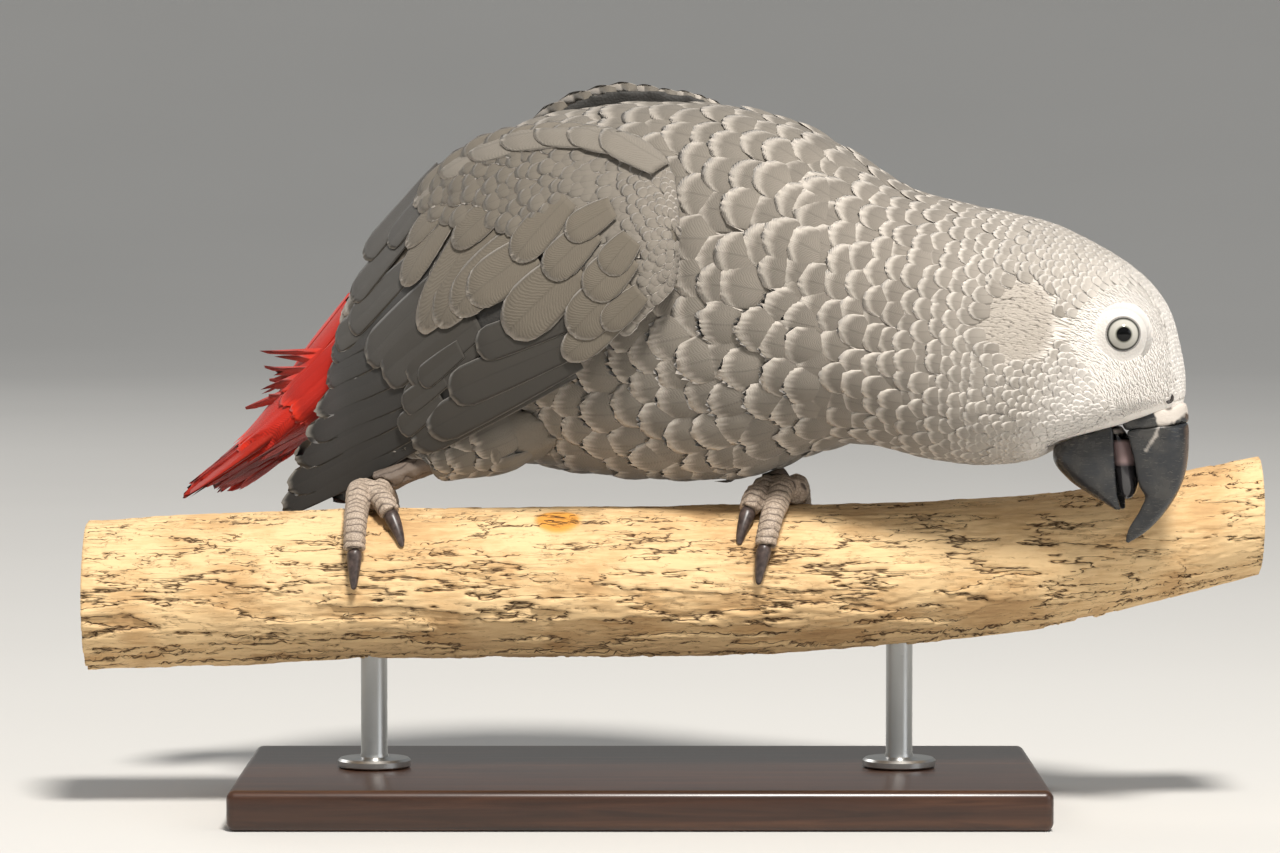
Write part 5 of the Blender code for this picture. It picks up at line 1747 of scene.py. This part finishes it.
class PARROT_OT_stage(bpy.types.Operator):
    """Pale floor that sweeps up all round, soft studio lights and the camera"""
    bl_idname = "parrot.stage"
    bl_label = "Stage"

    def execute(self, context):
        settings = context.scene.parrot_stage
        flat, rim, rise = 3.2, 6.0, 1.6
        sweep = [(flat + (rim - flat) * math.sin(a), rise * (1 - math.cos(a)))
                 for a in np.linspace(0, math.pi / 2, 14)]
        floor = turned("studio_floor", [(0.0, 0.0), (0.5, 0.0), (1.5, 0.0)] + sweep, (0, 0, 0), 96)
        floor.data.flip_normals()
        mat, tree = new_material("studio_paper")
        grain = add(tree, "TexNoise", add(tree, "TexCoord", out="Object"), 3.0)
        tint = add(tree, "MapRange", grain, 0.0, 1.0, 0.97, 1.03)
        base = add(tree, "VectorMath SCALE", tuple(settings.floor)[:3], tint)
        floor.data.materials.append(finish(mat, Base_Color=base, Roughness=0.9))

        aim = Vector((0.0, 0.0, settings.aim))
        # Each light's place, width, power and colour
        for name, place, size, power, colour in (
                ("key_light", (0.35, -1.55, 2.30), 0.55, settings.key, (1.0, 0.965, 0.915)),
                ("fill_light", (2.2, -1.6, 0.9), 1.6, settings.fill, (0.93, 0.96, 1.0)),
                ("rim_light", (-1.6, 1.9, 1.7), 1.2, settings.fill * 1.6, (1.0, 0.98, 0.95))):
            light = bpy.data.lights.new(name, "AREA")
            light.shape, light.size, light.energy, light.color = "DISK", size, power, colour
            lamp = add_object(name, light)
            lamp.location = place
            lamp.rotation_euler = (aim - Vector(place)).to_track_quat("-Z", "Y").to_euler()
        world = bpy.data.worlds.new("surround")
        context.scene.world = world
        world.use_nodes = True
        feed(world.node_tree.nodes["Background"], {"Color": linear("e8ebee"), "Strength": settings.sky})

        data = bpy.data.cameras.new("camera")
        data.sensor_width, data.lens = 36.0, settings.lens
        camera = add_object("camera", data)
        back, tilt = settings.distance, settings.elevation
        camera.location = (0.0, -back * math.cos(tilt), settings.aim + back * math.sin(tilt))
        camera.rotation_euler = (math.pi / 2 - tilt, 0.0, 0.0)
        context.scene.camera = camera
        context.scene.view_settings.view_transform = "Standard"
        return {"FINISHED"}


class PARROT_OT_clear_guides(bpy.types.Operator):
    """Removes the hidden surfaces and single vanes that the coat was laid from"""
    bl_idname = "parrot.clear_guides"
    bl_label = "Clear guides"

    def execute(self, context):
        for obj in list(bpy.data.objects):
            if obj.name.startswith("guide_") or not obj.users_scene:
                bpy.data.objects.remove(obj)
        return {"FINISHED"}


PIECES = (
    PARROT_OT_skin, PARROT_OT_coat, PARROT_OT_wings, PARROT_OT_tail, PARROT_OT_eyes, PARROT_OT_bill,
    PARROT_OT_feet, PARROT_OT_perch, PARROT_OT_stand, PARROT_OT_stage, PARROT_OT_clear_guides,
)
GROUPS = {"parrot_coat": ParrotCoat, "parrot_head": ParrotHead, "parrot_perch": ParrotPerch,
          "parrot_stage": ParrotStage}


class PARROT_PT_panel(bpy.types.Panel):
    """Lists the pieces in the order that they are built"""
    bl_label = "Grey parrot"
    bl_idname = "PARROT_PT_panel"
    bl_space_type = "VIEW_3D"
    bl_region_type = "UI"
    bl_category = "Parrot"

    def draw(self, context):
        for piece in PIECES:
            self.layout.operator(piece.bl_idname)
        for name in GROUPS:
            group = getattr(context.scene, name)
            box = self.layout.box()
            for key in group.__annotations__:
                box.prop(group, key)


def register():
    for name, group in GROUPS.items():
        bpy.utils.register_class(group)
        setattr(bpy.types.Scene, name, bpy.props.PointerProperty(type=group))
    for kind in (*PIECES, PARROT_PT_panel):
        bpy.utils.register_class(kind)


def unregister():
    for kind in (PARROT_PT_panel, *reversed(PIECES)):
        bpy.utils.unregister_class(kind)
    for name, group in GROUPS.items():
        delattr(bpy.types.Scene, name)
        bpy.utils.unregister_class(group)


def main():
    register()
    for piece in PIECES:
        group, name = piece.bl_idname.split(".")
        getattr(getattr(bpy.ops, group), name)()


if __name__ == "__main__":
    main()
